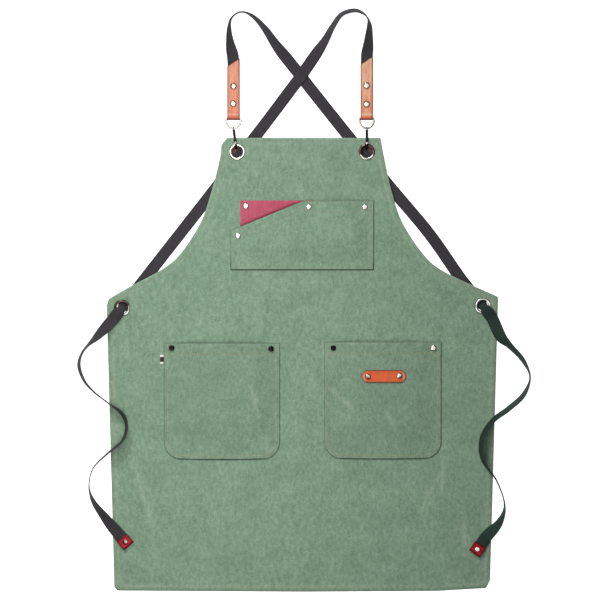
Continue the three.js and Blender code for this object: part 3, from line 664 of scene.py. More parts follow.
# %% Light
LAMPS = {
    "top": {"place": (-900, 2500, 2100), "aim": (0, 0, 0), "size": 700, "watts": 50},
    "upper": {"place": (-200, 330, 720), "aim": (-200, 330, 0), "size": 500, "watts": 2.25},
    "lower": {"place": (-200, -380, 720), "aim": (-200, -380, 0), "size": 500, "watts": 2.5},
}
# Strength of the sky at low and at high slopes, and between which upward slopes it grows
SKY = {"To Min": 0.105, "To Max": 0.92, "From Min": 0.86, "From Max": 0.96}


def add_lamp(name, place, aim, size, watts):
    lamp = bpy.data.lights.new(name, "AREA")
    lamp.shape = "DISK"
    lamp.size = size * MM
    lamp.energy = watts
    holder = place_in_scene(name, lamp)
    holder.location = [v * MM for v in place]
    towards = [(b - a) * MM for a, b in zip(place, aim)]
    holder.rotation_euler = Vector(towards).to_track_quat("-Z", "Y").to_euler()


def add_sky():
    world = bpy.data.worlds.new("studio")
    world.use_nodes = True
    tree = world.node_tree
    where = tree.nodes.new("ShaderNodeTexCoord")
    split = tree.nodes.new("ShaderNodeSeparateXYZ")
    ramp = tree.nodes.new("ShaderNodeMapRange")
    ramp.interpolation_type = "SMOOTHSTEP"
    for name, value in SKY.items():
        ramp.inputs[name].default_value = value
    background = tree.nodes["Background"].inputs
    background["Color"].default_value = (1, 1, 1, 1)
    tree.links.new(where.outputs["Generated"], split.inputs[0])
    tree.links.new(split.outputs["Z"], ramp.inputs["Value"])
    tree.links.new(ramp.outputs["Result"], background["Strength"])
    bpy.context.scene.world = world


add_sky()
for lamp_name, lamp_values in LAMPS.items():
    add_lamp(lamp_name, **lamp_values)
bpy.context.scene.view_settings.view_transform = "Standard"
print("lights:", len(bpy.data.lights))

# %% [markdown]
# The straps run below the bib and the waist and hold the canvas up, and from the waist it slopes down to
# its hem on the floor. One function gives the height of the canvas anywhere, and every piece that lies on
# the canvas asks that function, so nothing floats and nothing sinks in. A cloth simulation would find such
# heights too, but not the same ones for every piece. Slow, shallow waves keep the cloth from looking
# ironed.

# %% How the canvas lies
CLOTH = 1.4
LINING = 1.0
GAP = 0.3
BED = [(-480, 0), (-80, 5.4), (288.5, 6.75)]  # y, and the height of the canvas above the floor there
# Height, length and direction in degrees
WAVES = [(0.1, 210, 31), (0.09, 133, 74), (0.07, 87, -52), (0.05, 61, 12)]
GROMMET_NAMES = ["grommet_bib_left", "grommet_bib_right", "grommet_waist_left", "grommet_waist_right"]
EYES = [middle_of(node)[:2] for node in GROMMET_NAMES]


def drape(x, y):
    """Height of the underside of the canvas above the floor."""
    levels, heights = zip(*BED)
    lie = np.interp(y, levels, heights)
    for height, length, degrees in WAVES:
        along = x * math.cos(math.radians(degrees)) + y * math.sin(math.radians(degrees))
        lie = lie + height * np.sin(2 * math.pi * along / length)
    return np.maximum(lie, 0)


def panel_top(x, y):
    return drape(x, y) + CLOTH


print("canvas height at a grommet, mm:", round(float(drape(*EYES[0])), 2))

# %% [markdown]
# The panel is one cut of canvas, so it is made as one grid. A flat plane cut to the outline would leave
# ragged quads along the armholes. Instead each row of the grid runs from the left edge to the right edge at
# its height, which bends the grid to the armholes, and the last rows bend to the hem.

# %% Panel grid
PANEL = {"top": 288.5, "top_left": -134.5, "top_right": 137, "clip": (-144.5, 276), "hem_rows_from": -480}
WAIST = {"left": (-347, 3), "right": (345, 8), "round": 11}
HEM_CURVE = [(-334, -506), (-328, -512.5), (0, -514.5), (240, -513), (324, -508), (331, -494)]
# Height, and x of the left and the right edge
ARMHOLE = [
    (253, -147, 143.5), (197, -161, 156), (140, -180.5, 175),
    (83, -217.5, 212.5), (55, -251, 244.5), (26.5, -304, 302.5),
]
ARM_STEPS = 8
GRID = 4.4


def panel_edges():
    """Left and right edge as rows of x and y, from the top down."""
    (x, y), turn = WAIST["left"], WAIST["round"]
    left_arm = [PANEL["clip"], *((left, level) for level, left, _ in ARMHOLE), (x + turn, y + turn / 2)]
    corner = [(x + turn * 0.25, y - turn * 0.06), (x, y - turn)]
    left = [(PANEL["top_left"], PANEL["top"]), *curve_through(left_arm, ARM_STEPS, 0), *corner, HEM_CURVE[0]]
    right_arm = [(PANEL["top_right"], PANEL["top"]), *((right, level) for level, _, right in ARMHOLE)]
    right = [*curve_through([*right_arm, WAIST["right"]], ARM_STEPS, 0), HEM_CURVE[-1]]
    return np.array(left), np.array(right)


def edge_at(edge, y):
    return np.interp(-np.asarray(y, float), -edge[:, 1], edge[:, 0])


def row_between(left, right, y, share):
    """A row of points at one height, at shares of the way from the left edge to the right edge."""
    return np.stack([edge_at(left, y) * (1 - share) + edge_at(right, y) * share, np.full(len(share), y)], 1)


def panel_grid():
    left, right = panel_edges()
    columns = round((WAIST["right"][0] - WAIST["left"][0]) / GRID) + 1
    share = np.linspace(0, 1, columns)
    levels = np.arange(PANEL["top"], PANEL["hem_rows_from"], -GRID)
    rows = [row_between(left, right, y, share) for y in levels]
    last, hem = rows[-1], spread(HEM_CURVE, columns)
    steps = round((levels[-1] - hem[:, 1].min()) / GRID)
    rows += [last * (1 - k / steps) + hem * (k / steps) for k in range(1, steps + 1)]
    return np.array(rows), np.concatenate([left, HEM_CURVE[1:-1], right[::-1]])


PANEL_GRID, PANEL_OUTLINE = panel_grid()
print("rows and columns of the panel:", PANEL_GRID.shape[:2])

# %% [markdown]
# The hem is turned twice and sewn, so a strip along the edge is thicker, and wear bleaches its ridge. A few
# folds stayed in the cloth as pale, low ridges. The four eyes are punched out of the grid: the quads inside
# go, and the rim of what is left is drawn to a true circle, which is cleaner than a boolean cut.

# %% Panel
HEM = {"width": 8.5, "rise": 0.55, "step": 2.2, "edge": 1.6, "edge_drop": 0.55}
HEM_RUB = {"ridge": 0.3, "ridge_width": 2.2, "edge": 0.45, "edge_reach": 4}
HOLE = 11
# Folds that stayed in the cloth: start, end
CREASES = [
    ((-301.6, -283), (-265.5, -400)), ((247.8, -288.5), (246, -338)), ((240.7, -308), (209, -370)),
    ((285, -382), (285, -432)), ((46, -153), (87.6, -188.5)), ((148, -198), (159.6, -219.5)),
    ((-92, -154), (-78, -207)), ((-69, -242.5), (-58, -267)),
]
CREASE = {"width": 3.4, "rub": 0.5, "ridge": 0.3}


def hem_lift(distance, hem):
    """How much thicker a turned hem is, with its outer edge rounded off."""
    band = hem["rise"] * (1 - smooth_step(distance, hem["width"] - hem["step"], hem["width"]))
    return band - hem["edge_drop"] * (1 - smooth_step(distance, 0, hem["edge"]))


def crease_share(x, y):
    """1 on a fold and 0 away from it."""
    nearest = np.min([segment_distance(x, y, start, end) for start, end in CREASES], axis=0)
    return bell(nearest, CREASE["width"])


def panel_rub(x, y, distance):
    ridge = bell(distance - HEM["width"], HEM_RUB["ridge_width"]) * HEM_RUB["ridge"]
    edge = (1 - smooth_step(distance, 0, HEM_RUB["edge_reach"])) * HEM_RUB["edge"]
    return np.clip(ridge + edge + crease_share(x, y) * CREASE["rub"], 0, 1)


def punch(flat, quads, centre, radius):
    """Takes the quads inside a hole away and draws the rim of what is left to the hole's radius."""
    reach = np.hypot(*(flat - centre).T)
    kept = quads[(reach[quads] > radius).all(axis=1)]
    gone = quads[(reach[quads] <= radius).any(axis=1)]
    rim = np.intersect1d(gone, kept)
    flat[rim] = centre + (flat[rim] - centre) * (radius / reach[rim])[:, None]
    return kept


def add_panel():
    flat = PANEL_GRID.reshape(-1, 2).copy()
    quads = grid_quads(*PANEL_GRID.shape[:2])
    for centre in EYES:
        quads = punch(flat, quads, centre, HOLE)
    x, y = flat.T
    distance = outline_distance(x, y, PANEL_OUTLINE)
    top = panel_top(x, y) + hem_lift(distance, HEM) + crease_share(x, y) * CREASE["ridge"]
    points, faces, used = slab(x, y, top, drape(x, y), quads)
    panel = add_piece("body_panel_cloth", points, faces, CANVAS, ["body_panel"])
    paint_slab(panel, "rub", panel_rub(x, y, distance), used)
    return panel


PANEL_CLOTH = add_panel()
print("panel faces:", len(PANEL_CLOTH.data.polygons))

# %% [markdown]
# A patch pocket is sewn down at its sides and bottom and stands open at its mouth. Inflating a flat pocket
# would puff it like a pillow, so its height over the panel is a rule: nothing at the seams, most in the
# middle of the mouth, and pinned down by a rivet. The chest pocket also steps over the lining behind it.

# %% How pockets stand
SEAM_FLAT = 6
HIP = {
    "nodes": ["hip_pocket_left", "hip_pocket_right"], "corner": 30, "corner_points": 12, "bow": 2.2,
    "bow_reach": 70, "swell": 7.5, "side": 55, "bottom": 80, "hem": 21,
}
BIB = {"slant": (1, 124), "swell": 6.5, "side": 40, "bottom": 55, "hem": 22, "slant_hem": 15}
PIN = {"cap": 5, "reach": 42}
BIB_PINS = ["rivet_bib_middle", "rivet_bib_right", "rivet_bib_left"]
LINING_BOX = flat_box("bib_pocket_lining")
LINING_STEP = (4, 40)  # the pocket comes down between these distances beside the lining


def swell(x, y, box, form, pins=()):
    """How far a pocket stands off the panel."""
    (left, bottom), (right, _) = box
    height = form["swell"] * smooth_step(np.minimum(x - left, right - x), SEAM_FLAT, form["side"])
    height = height * smooth_step(y - bottom, SEAM_FLAT, form["bottom"])
    for px, py in pins:
        free = smooth_step(np.hypot(x - px, y - py), PIN["cap"], PIN["reach"])
        height = np.minimum(height, form["swell"] * free)
    return height


def bib_under(x, y):
    """Height of the underside of the chest pocket."""
    (left, bottom), (right, top) = LINING_BOX
    beside = np.maximum.reduce([left - x, x - right, bottom - y, y - top])
    over_lining = (LINING + GAP) * (1 - smooth_step(beside, *LINING_STEP))
    pins = [middle_of(node)[:2] for node in BIB_PINS]
    return panel_top(x, y) + GAP + np.maximum(over_lining, swell(x, y, flat_box("bib_pocket"), BIB, pins))


def pocket_under(node):
    """The function that gives the height of a pocket's underside."""
    def hip_under(x, y):
        return panel_top(x, y) + GAP + swell(x, y, flat_box(node), HIP)

    return hip_under if node in HIP["nodes"] else bib_under


print("chest pocket above the floor, mm:", round(float(bib_under(*middle_of("bib_pocket")[:2])), 1))

# %% [markdown]
# A pocket's outline is told as its left and its right edge, both from the top down, because the rows of its
# cloth run from one to the other. The hip pockets have round lower corners and a lower edge that sags a
# little. The chest pocket is cut off at a slant on its left.

# %% Pocket outlines
def hip_edges(node):
    """Left and right edge of a hip pocket from the top down, with round lower corners."""
    (left, bottom), (right, top) = flat_box(node)
    turn = np.linspace(0, math.pi / 2, HIP["corner_points"])
    inward = HIP["corner"] * (1 - np.cos(turn))
    y = np.concatenate([[top], bottom + HIP["corner"] * (1 - np.sin(turn))])
    left_x = np.concatenate([[left], left + inward])
    right_x = np.concatenate([[right], right - inward])
    return np.stack([left_x, y], 1), np.stack([right_x, y], 1)


def bib_edges():
    (left, bottom), (right, top) = flat_box("bib_pocket")
    slant_x, slant_y = BIB["slant"]
    left_edge = np.array([(slant_x, top), (left, slant_y), (left, bottom)])
    return left_edge, np.array([(right, top), (right, bottom)])


def pocket_edges(node):
    return hip_edges(node) if node in HIP["nodes"] else bib_edges()


def around(left, right):
    """One outline from two edges that both run from the top down."""
    return np.concatenate([left, right[::-1]])


def bowed(node, x, y):
    """Heights up the cloth once the lower edge of a hip pocket sags in its middle."""
    if node not in HIP["nodes"]:
        return y
    (left, bottom), (right, _) = flat_box(node)
    off_middle = (2 * x - left - right) / (right - left)
    return y + HIP["bow"] * off_middle**2 * (1 - smooth_step(y - bottom, 0, HIP["bow_reach"]))


print("outline points of a hip pocket:", len(around(*hip_edges("hip_pocket_left"))))

# %% [markdown]
# The cloth of a pocket is a grid between its edges, with extra rows close to the rim, so that painted shadow
# can darken the rim where it turns down to its seam. Its mouth has a deep turned hem with a worn ridge.

# %% Pocket cloth
POCKET_GRID = 3.2
EDGE_BANDS = (0.9, 1.8)  # rows of points close to the rim of a pocket
# Painted shadow on each side of a pocket's rim, and how dark it gets there
EDGE_SHADE = {"bottom": 1.0, "right": 0.5, "left": 0.45, "mouth": 0.4}
LOW_SHADE = (6, 26)  # the painted shadow on the sides gets as dark as at the bottom between these heights
POCKET_TONE = 0.08  # the hip pockets are painted slightly darker all over
POCKET_EDGE = {"width": 9, "rise": 0.35, "step": 1.6, "edge": 1.4, "edge_drop": 0.5}
POCKET_RUB = {"edge": 0.35, "edge_reach": 3.5, "hem": 0.18, "hem_width": 2.5}


def band_grid(left, right):
    """A grid of rows between two edges, closer together where the edges turn and along the rim."""
    bands = np.array(EDGE_BANDS)
    levels = np.concatenate([left[0, 1] - bands, left[-1, 1] + bands])
    for edge in (left, right):
        levels = np.union1d(levels, edge[:, 1])
    counts = [max(2, round((b - a) / POCKET_GRID) + 1) for a, b in zip(levels, levels[1:])]
    fill = [np.linspace(a, b, count) for a, b, count in zip(levels, levels[1:], counts)]
    width = right[:, 0].max() - left[:, 0].min()
    even = np.linspace(0, 1, round(width / POCKET_GRID) + 1)
    share = np.union1d(even, np.concatenate([bands, width - bands]) / width)
    levels = np.unique(np.concatenate(fill))[::-1]
    return np.array([row_between(left, right, y, share) for y in levels])


def edge_shade(x, y, left, right):
    """Painted shadow on the rim of a pocket: most at the bottom, where it turns away from the light."""
    low = 1 - smooth_step(y - left[-1, 1], *LOW_SHADE)
    bottom = EDGE_SHADE["bottom"]
    at_left, at_right = (EDGE_SHADE[side] + (bottom - EDGE_SHADE[side]) * low for side in ("left", "right"))
    amounts = [
        (np.abs(y - left[-1, 1]), bottom), (np.abs(y - left[0, 1]), EDGE_SHADE["mouth"]),
        (edge_at(right, y) - x, at_right), (x - edge_at(left, y), at_left),
    ]
    return np.max([amount * (1 - smooth_step(away, *EDGE_BANDS)) for away, amount in amounts], axis=0)


def add_pocket(node, mouth_hems):
    """mouth_hems: pairs of a mouth edge's two ends and how deep its hem is turned."""
    edges = pocket_edges(node)
    grid = band_grid(*edges)
    x, y = grid.reshape(-1, 2).T
    distance = outline_distance(x, y, around(*edges))
    lift = hem_lift(distance, POCKET_EDGE)
    rub = (1 - smooth_step(distance, 0, POCKET_RUB["edge_reach"])) * POCKET_RUB["edge"]
    rub = rub + crease_share(x, y) * CREASE["rub"]
    for (start, end), depth in mouth_hems:
        in_hem = segment_distance(x, y, start, end)
        lift = np.maximum(lift, hem_lift(in_hem, {**POCKET_EDGE, "width": depth}))
        rub = rub + bell(in_hem - depth, POCKET_RUB["hem_width"]) * POCKET_RUB["hem"]
    sagged = bowed(node, x, y)
    below = pocket_under(node)(x, sagged)
    points, faces, used = slab(x, sagged, below + CLOTH + lift, below, grid_quads(*grid.shape[:2]))
    pocket = add_piece(f"{node}_cloth", points, faces, CANVAS, [node])
    # The attribute shade holds painted shadow along the rim, and a slight darkening of the hip pockets
    tone = POCKET_TONE if node in HIP["nodes"] else 0
    paint_slab(pocket, "rub", np.clip(rub, 0, 1), used)
    paint_slab(pocket, "shade", np.maximum(edge_shade(x, y, *edges), tone), used)
    return pocket


def add_pockets():
    made = {}
    for node in HIP["nodes"]:
        left, right = hip_edges(node)
        made[node] = add_pocket(node, [((left[0], right[0]), HIP["hem"])])
    left, right = bib_edges()
    hems = [((left[0], right[0]), BIB["hem"]), ((left[0], left[1]), BIB["slant_hem"])]
    made["bib_pocket"] = add_pocket("bib_pocket", hems)
    return made


POCKETS = add_pockets()
print("pocket faces:", {name: len(piece.data.polygons) for name, piece in POCKETS.items()})

# %% [markdown]
# The red lining shows only in the corner behind the slanted mouth. It is a plain patch of thinner cloth
# that lies on the panel. The pocket's edge lies close above it and throws only a thin shadow, so the
# attribute shade deepens the cloth along the mouth.

# %% Lining
LINING_EDGE = {"drop": 0.4, "reach": 1.5}
LINING_RUB = {"edge": 0.3, "reach": 3}
LINING_SHADE = {"deep": 0.55, "reach": (1, 6)}


def add_lining():
    (left, bottom), (right, top) = LINING_BOX
    edges = np.array([(left, top), (left, bottom)]), np.array([(right, top), (right, bottom)])
    grid = band_grid(*edges)
    x, y = grid.reshape(-1, 2).T
    below = panel_top(x, y) + GAP
    distance = outline_distance(x, y, around(*edges))
    top_side = below + LINING - LINING_EDGE["drop"] * (1 - smooth_step(distance, 0, LINING_EDGE["reach"]))
    points, faces, used = slab(x, y, top_side, below, grid_quads(*grid.shape[:2]))
    name = "bib_pocket_lining"
    lining = add_piece(f"{name}_cloth", points, faces, RED_CLOTH, [name])
    slant_start, slant_end, _ = bib_edges()[0]
    to_mouth = segment_distance(x, y, slant_start, slant_end)
    shade = LINING_SHADE["deep"] * (1 - smooth_step(to_mouth, *LINING_SHADE["reach"]))
    paint_slab(lining, "rub", (1 - smooth_step(distance, 0, LINING_RUB["reach"])) * LINING_RUB["edge"], used)
    paint_slab(lining, "shade", shade, used)
    return lining


LINING_CLOTH = add_lining()
print("lining faces:", len(LINING_CLOTH.data.polygons))

# %% [markdown]
# Geometry Nodes make what repeats on this apron: stitches, ribs and rivets. A tree takes a plain mesh and
# named inputs, and its result is turned back into a plain mesh, because the export drops instances.

# %% Geometry Nodes helpers
class Tree:
    """A Geometry Nodes tree with named inputs."""

    def __init__(self, name, inputs):
        self.tree = bpy.data.node_groups.new(name, "GeometryNodeTree")
        face = self.tree.interface
        face.new_socket("Geometry", in_out="INPUT", socket_type="NodeSocketGeometry")
        self.ids = {}
        for label, kind in inputs.items():
            socket = face.new_socket(label, in_out="INPUT", socket_type=f"NodeSocket{kind}")
            self.ids[label] = socket.identifier
        face.new_socket("Geometry", in_out="OUTPUT", socket_type="NodeSocketGeometry")
        self.inputs = self.tree.nodes.new("NodeGroupInput").outputs

    def node(self, kind, settings, sockets):
        made = self.tree.nodes.new(kind)
        for name, value in settings.items():
            setattr(made, name, value)
        for name, value in sockets.items():
            if isinstance(value, bpy.types.NodeSocket):
                self.tree.links.new(value, made.inputs[name])
            else:
                made.inputs[name].default_value = value
        return made.outputs

    def math(self, operation, *values):
        return self.node("ShaderNodeMath", {"operation": operation}, dict(enumerate(values)))[0]

    def finish(self, geometry):
        """Makes instances real, sets the material and ends the tree."""
        real = self.node("GeometryNodeRealizeInstances", {}, {"Geometry": geometry})[0]
        smooth = self.node("GeometryNodeSetShadeSmooth", {}, {"Geometry": real})[0]
        sockets = {"Geometry": smooth, "Material": self.inputs["Material"]}
        done = self.node("GeometryNodeSetMaterial", {}, sockets)[0]
        self.node("NodeGroupOutput", {}, {"Geometry": done})
        return self

    def run(self, name, mesh, **values):
        """The result of the tree on a mesh, as a plain object."""
        host = place_in_scene(name, mesh)
        modifier = host.modifiers.new(name, "NODES")
        modifier.node_group = self.tree
        for label, value in values.items():
            modifier[self.ids[label]] = value
        graph = bpy.context.evaluated_depsgraph_get()
        result = bpy.data.meshes.new_from_object(host.evaluated_get(graph))
        host.modifiers.clear()
        host.data = result
        result.name = name
        return host


print("trees so far:", len(bpy.data.node_groups))

# %% [markdown]
# A seam is a line of points that lies on the cloth. The stitch tree resamples it at the stitch pitch and
# sets a small bead of thread on each point, turned along the seam. A painted dashed line would be lighter,
# but beads catch the light and stand up in a close view. Their sizes wander a little, from a fixed seed.

# %% Stitch tree
STITCH = {"pitch": 4.3, "length": 3.3, "thread": 0.55, "seed": 7, "wander": 0.12}
BEAD = {"Segments": 6, "Rings": 5, "Radius": 1.0}
RANDOM = {"least": 2, "most": 3, "value": 1}  # number sockets of a Random Value node, whose names repeat


def stitch_tree():
    sizes = {"Pitch": "Float", "Length": "Float", "Thread": "Float", "Wander": "Float", "Seed": "Int"}
    tree = Tree("stitches", {**sizes, "Material": "Material"})
    put = tree.inputs
    line = tree.node("GeometryNodeMeshToCurve", {}, {"Mesh": put["Geometry"]})[0]
    sockets = {"Curve": line, "Length": put["Pitch"]}
    even = tree.node("GeometryNodeResampleCurve", {"mode": "LENGTH"}, sockets)[0]
    spots = tree.node("GeometryNodeCurveToPoints", {"mode": "EVALUATED"}, {"Curve": even})
    along = tree.node("FunctionNodeAlignRotationToVector", {"axis": "X"}, {"Vector": spots["Tangent"]})[0]
    sockets = {"X": put["Length"], "Y": put["Thread"], "Z": put["Thread"]}
    size = tree.node("ShaderNodeCombineXYZ", {}, sockets)[0]
    ball = tree.node("GeometryNodeMeshUVSphere", {}, BEAD)[0]
    bead = tree.node("GeometryNodeTransform", {}, {"Geometry": ball, "Scale": size})[0]
    least = tree.math("SUBTRACT", 1.0, put["Wander"])
    most = tree.math("ADD", 1.0, put["Wander"])
    sockets = {RANDOM["least"]: least, RANDOM["most"]: most, "Seed": put["Seed"]}
    scale = tree.node("FunctionNodeRandomValue", {"data_type": "FLOAT"}, sockets)[RANDOM["value"]]
    sockets = {"Points": spots["Points"], "Instance": bead, "Rotation": along, "Scale": scale}
    return tree.finish(tree.node("GeometryNodeInstanceOnPoints", {}, sockets)[0])


STITCHES = stitch_tree()
print("nodes in the stitch tree:", len(STITCHES.tree.nodes))

# %% [markdown]
# Every seam on this apron follows an edge of its cloth, moved inwards, cut short at its ends and laid on the
# cloth below it. Typing the seams would be shorter, but they would miss the edge when a size changes.

# %% Seams
SEAM_STEP = 4  # points of a seam lie about so far apart


def line_mesh(name, lines):
    """A mesh of open lines, each a list of points in millimetres."""
    edges, start = [], 0
    for line in lines:
        edges += [(start + k, start + k + 1) for k in range(len(line) - 1)]
        start += len(line)
    return raw_mesh(name, np.concatenate(lines), edges=edges)


def on_cloth(line, surface):
    """A flat line laid on a surface, with a point every few millimetres."""
    flat = np.asarray(line, float)
    x, y = spread(flat, max(2, round(run_lengths(flat)[-1] / SEAM_STEP))).T
    return np.stack([x, y, surface(x, y)], 1)


def seam(points, depth, start, end):
    """A line moved to its left by a depth, without so many points at its start and its end."""
    ahead = unit(np.gradient(points, axis=0))
    moved = points + np.stack([-ahead[:, 1], ahead[:, 0]], 1) * depth
    return moved[start:-end]


def sew(name, lines, surface):
    piece = STITCHES.run(
        name, line_mesh(name, [on_cloth(line, surface) for line in lines]),
        Pitch=STITCH["pitch"] * MM, Length=STITCH["length"] / 2 * MM, Thread=STITCH["thread"] * MM,
        Wander=STITCH["wander"], Seed=STITCH["seed"], Material=THREAD,
    )
    settle(piece)
    return piece


def hem_top(x, y):
    return panel_top(x, y) + HEM["rise"]


def pocket_top(node):
    """The function that gives the height of the turned cloth on top of a pocket."""
    under = pocket_under(node)

    def top(x, y):
        return under(x, y) + CLOTH + POCKET_EDGE["rise"]

    return top


print("top of the hem at its middle, mm:", round(float(hem_top(*HEM_CURVE[2])), 2))

# %% [markdown]
# A sewing machine turns at every corner of a panel, so the seam round the hem is one line for each side. A
# pocket has one seam round its sides and its bottom, and another along each mouth.

# %% Sewing
SEAM_STITCH = 6.5
FROM_HEM = 1.5  # a mouth is sewn so far from the inner edge of its hem
FROM_PANEL_HEM = 1.8
MOUTH_INSET = 8
SLANT_OVERLAP = 3
SEAM_POINTS = {"hip": 220, "bib": 200, "slant": 40}


def add_panel_stitches():
    left, right = panel_edges()
    depth = HEM["width"] - FROM_PANEL_HEM
    lines = [
        seam(spread([right[0], left[0]], 40), depth, 2, 2),
        seam(spread(left[1:-1], 200), depth, 3, 3),
        seam(spread(right[:-1], 200)[::-1], depth, 3, 3),
        seam(spread(left[-2:], 60), depth, 1, 1),
        seam(spread(right[:-3:-1], 60), depth, 1, 1),
        seam(spread(HEM_CURVE[1:-1], 90), depth, 1, 1),
    ]
    return sew("panel_hem_stitches", lines, hem_top)


def add_pocket_stitches():
    for node in HIP["nodes"]:
        left, right = hip_edges(node)
        x, y = spread(around(left, right), SEAM_POINTS["hip"]).T
        border = seam(np.stack([x, bowed(node, x, y)], 1), SEAM_STITCH, 2, 2)
        mouth_y = left[0][1] - HIP["hem"] + FROM_HEM
        mouth = [(left[0][0] + MOUTH_INSET, mouth_y), (right[0][0] - MOUTH_INSET, mouth_y)]
        sew(f"{node}_stitches", [border, mouth], pocket_top(node))
    left, right = bib_edges()
    border = seam(spread([left[1], left[2], right[1], right[0]], SEAM_POINTS["bib"]), SEAM_STITCH, 6, 2)
    slant = seam(spread([left[0], left[1]], SEAM_POINTS["slant"]), BIB["slant_hem"] - FROM_HEM, 0, 2)
    mouth_y = left[0][1] - BIB["hem"] + FROM_HEM
    mouth = [(slant[0][0] - SLANT_OVERLAP, mouth_y), (right[0][0] - MOUTH_INSET, mouth_y)]
    sew("bib_pocket_stitches", [border, slant[1:], mouth], pocket_top("bib_pocket"))


PANEL_STITCHES = add_panel_stitches()
add_pocket_stitches()
print("stitch faces on the panel:", len(PANEL_STITCHES.data.polygons))

# %% [markdown]
# Each strap runs from its shoulder tab over the back, under the bib, up through a waist grommet and on as a
# tie. Such a path could be drawn as a curve object, but a ribbon needs its roll at every point, so it is a
# short table: x, y, the height above its rest, and its roll, from flat to standing on edge. In a grommet
# the strap also curls across its width.

# %% Strap tables
WEB = {
    "width": 21, "thick": 1.6, "step": 0.8, "across": 9, "edge_thin": 0.45,
    "rib_pitch": 2.4, "rib_height": 0.16,
}
LEFT_BACK = [
    (-123, 338, 2.1, 0), (-124, 431, 2.1, 0), (-127, 446, 0.8, 28), (-129, 458, 0, 48), (-130.5, 478, 0, 68),
    (-127.5, 498, 0, 84), (-116, 509, 0, 90), (-104, 510.5, 0, 88), (-88, 502.5, 0, 76), (-69, 483, 0, 61),
    (-47, 451.5, 0, 37), (-28, 428, 0, 8), (-14, 410.5, 0, 0), (82, 289.5, 0, 0),
    (156.5, 199, 0, 0), (225, 117, 0, 0), (283, 34.5, 0, 0),
]
RIGHT_TIE = [
    (349, -62, 0, 24), (362, -76, 0, 58), (389.5, -106, 0, 72), (401, -134.5, 0.3, 88), (390, -165, 0, 72),
    (363, -190, 0, 68), (336, -210.5, 0, 70), (316, -241, 0, 74), (316, -278, 0, 79), (342.5, -318.5, 0, 87),
    (356, -363, 0, 86), (347, -391, 0.6, 58), (325, -416, 1.2, 14),
]
RIGHT_TIP = [(317, -427), (304, -445)]
RIGHT_BACK = [
    (112.8, 338, 2.1, 0), (113, 434, 2.1, 0), (115, 450, 0.8, 26), (116.3, 465.5, 0, 46),
    (117.3, 488.5, 0, 67), (114.5, 500, 0, 82), (106, 508.5, 0, 74), (92, 513.5, 0, 67), (69, 507, 0, 65),
    (52.5, 485.5, 0, 61), (39, 460.5, 0, 46), (16, 426.5, 1.2, 4), (-4, 397.5, 2.2, 0), (-28, 365.5, 1.2, 0),
    (-52, 333.5, 0, 0), (-85.5, 289.5, 0, 0), (-163, 189, 0, 0), (-281, 38, 0, 0),
]
LEFT_TIE = [
    (-363, -62, 0, 48), (-379, -77, 0, 74), (-391, -93, 0, 77), (-396, -113, 0, 71), (-387, -140, 0, 74),
    (-369, -160.5, 0, 80), (-345, -179.5, 0, 82), (-318, -200.5, 0, 70), (-311.5, -222.5, 0, 74),
    (-318.5, -246, 0, 78), (-345, -269, 0, 82), (-371, -296, 0, 86), (-378, -328, 0, 84),
    (-371, -352.5, 0, 66), (-351, -381, 0, 40), (-332, -405, 0.6, 10),
]
LEFT_TIP = [(-323, -415.5), (-309, -431.5)]
# How a strap climbs through a grommet: distance past its centre, height, curl in degrees
GROMMET_PASS = [
    (-15, 1.2, 0), (-9, 1.7, 15), (-5, 3.3, 60), (-1.5, 7, 150),
    (2, 11.2, 155), (7, 13, 100), (14, 11.6, 36), (26, 9, 0),
]
STRAPS = [
    {"node": "strap_left_shoulder", "back": LEFT_BACK, "eye": EYES[3], "heading": (0.602, -0.798),
     "tie": RIGHT_TIE, "tip": RIGHT_TIP, "tip_node": "strap_tip_right"},
    {"node": "strap_right_shoulder", "back": RIGHT_BACK, "eye": EYES[2], "heading": (-0.62, -0.785),
     "tie": LEFT_TIE, "tip": LEFT_TIP, "tip_node": "strap_tip_left"},
]
print("rows in the strap tables:", [len(strap["back"]) + len(strap["tie"]) for strap in STRAPS])

# %% [markdown]
# A tie rests on the canvas and comes down to the floor beside it, so its height is asked for and not typed.
# The highest ground under its width counts, which keeps a strap that stands on its edge clear of the cloth.

# %% Strap heights
TIP = {"length": 19.5, "width": 22.4, "leather": 1.4, "inside": 2.2, "run": 4.5, "rivet": 10}
OFF_PANEL = (10, 36)  # a tie comes down between these distances past the canvas
GROUND_POINTS = 8


def strap_ground(x, y):
    """What a tie rests on: the canvas, or the floor beside it."""
    left = edge_at(np.array([WAIST["left"], HEM_CURVE[0]]), y)
    right = edge_at(np.array([WAIST["right"], HEM_CURVE[-1]]), y)
    out = smooth_step(np.maximum(left - x, x - right), *OFF_PANEL)
    return panel_top(x, y) * (1 - out)


def highest(x, y, radius):
    """The highest ground at a point and on a circle round it."""
    turn = circle(GROUND_POINTS)
    ring = strap_ground(x + radius * np.cos(turn), y + radius * np.sin(turn))
    return max(float(np.max(ring)), float(strap_ground(np.array(x), np.array(y))))


def lying(x, y, up, roll, ground):
    """A row of x, y, z, roll and curl for webbing that lies or leans on the ground."""
    lean = math.radians(roll)
    half = WEB["width"] / 2 * math.sin(lean) + WEB["thick"] / 2 * math.cos(lean)
    return (x, y, ground + GAP + up + half, roll, 0)


def strap_rows(strap):
    rows = [lying(*row, 0) for row in strap["back"]]
    (ex, ey), (hx, hy) = strap["eye"], strap["heading"]
    rows += [(ex + hx * along, ey + hy * along, z, 0, curl) for along, z, curl in GROMMET_PASS]
    rows += [lying(*row, highest(row[0], row[1], WEB["width"] / 2)) for row in strap["tie"]]
    tip_z = highest(*strap["tip"][-1], TIP["length"]) + GAP + TIP["leather"] + TIP["inside"] / 2
    return rows + [(x, y, tip_z, 0, 0) for x, y in strap["tip"]]


print("highest point of a strap's middle, mm:", round(max(row[2] for row in strap_rows(STRAPS[0])), 1))

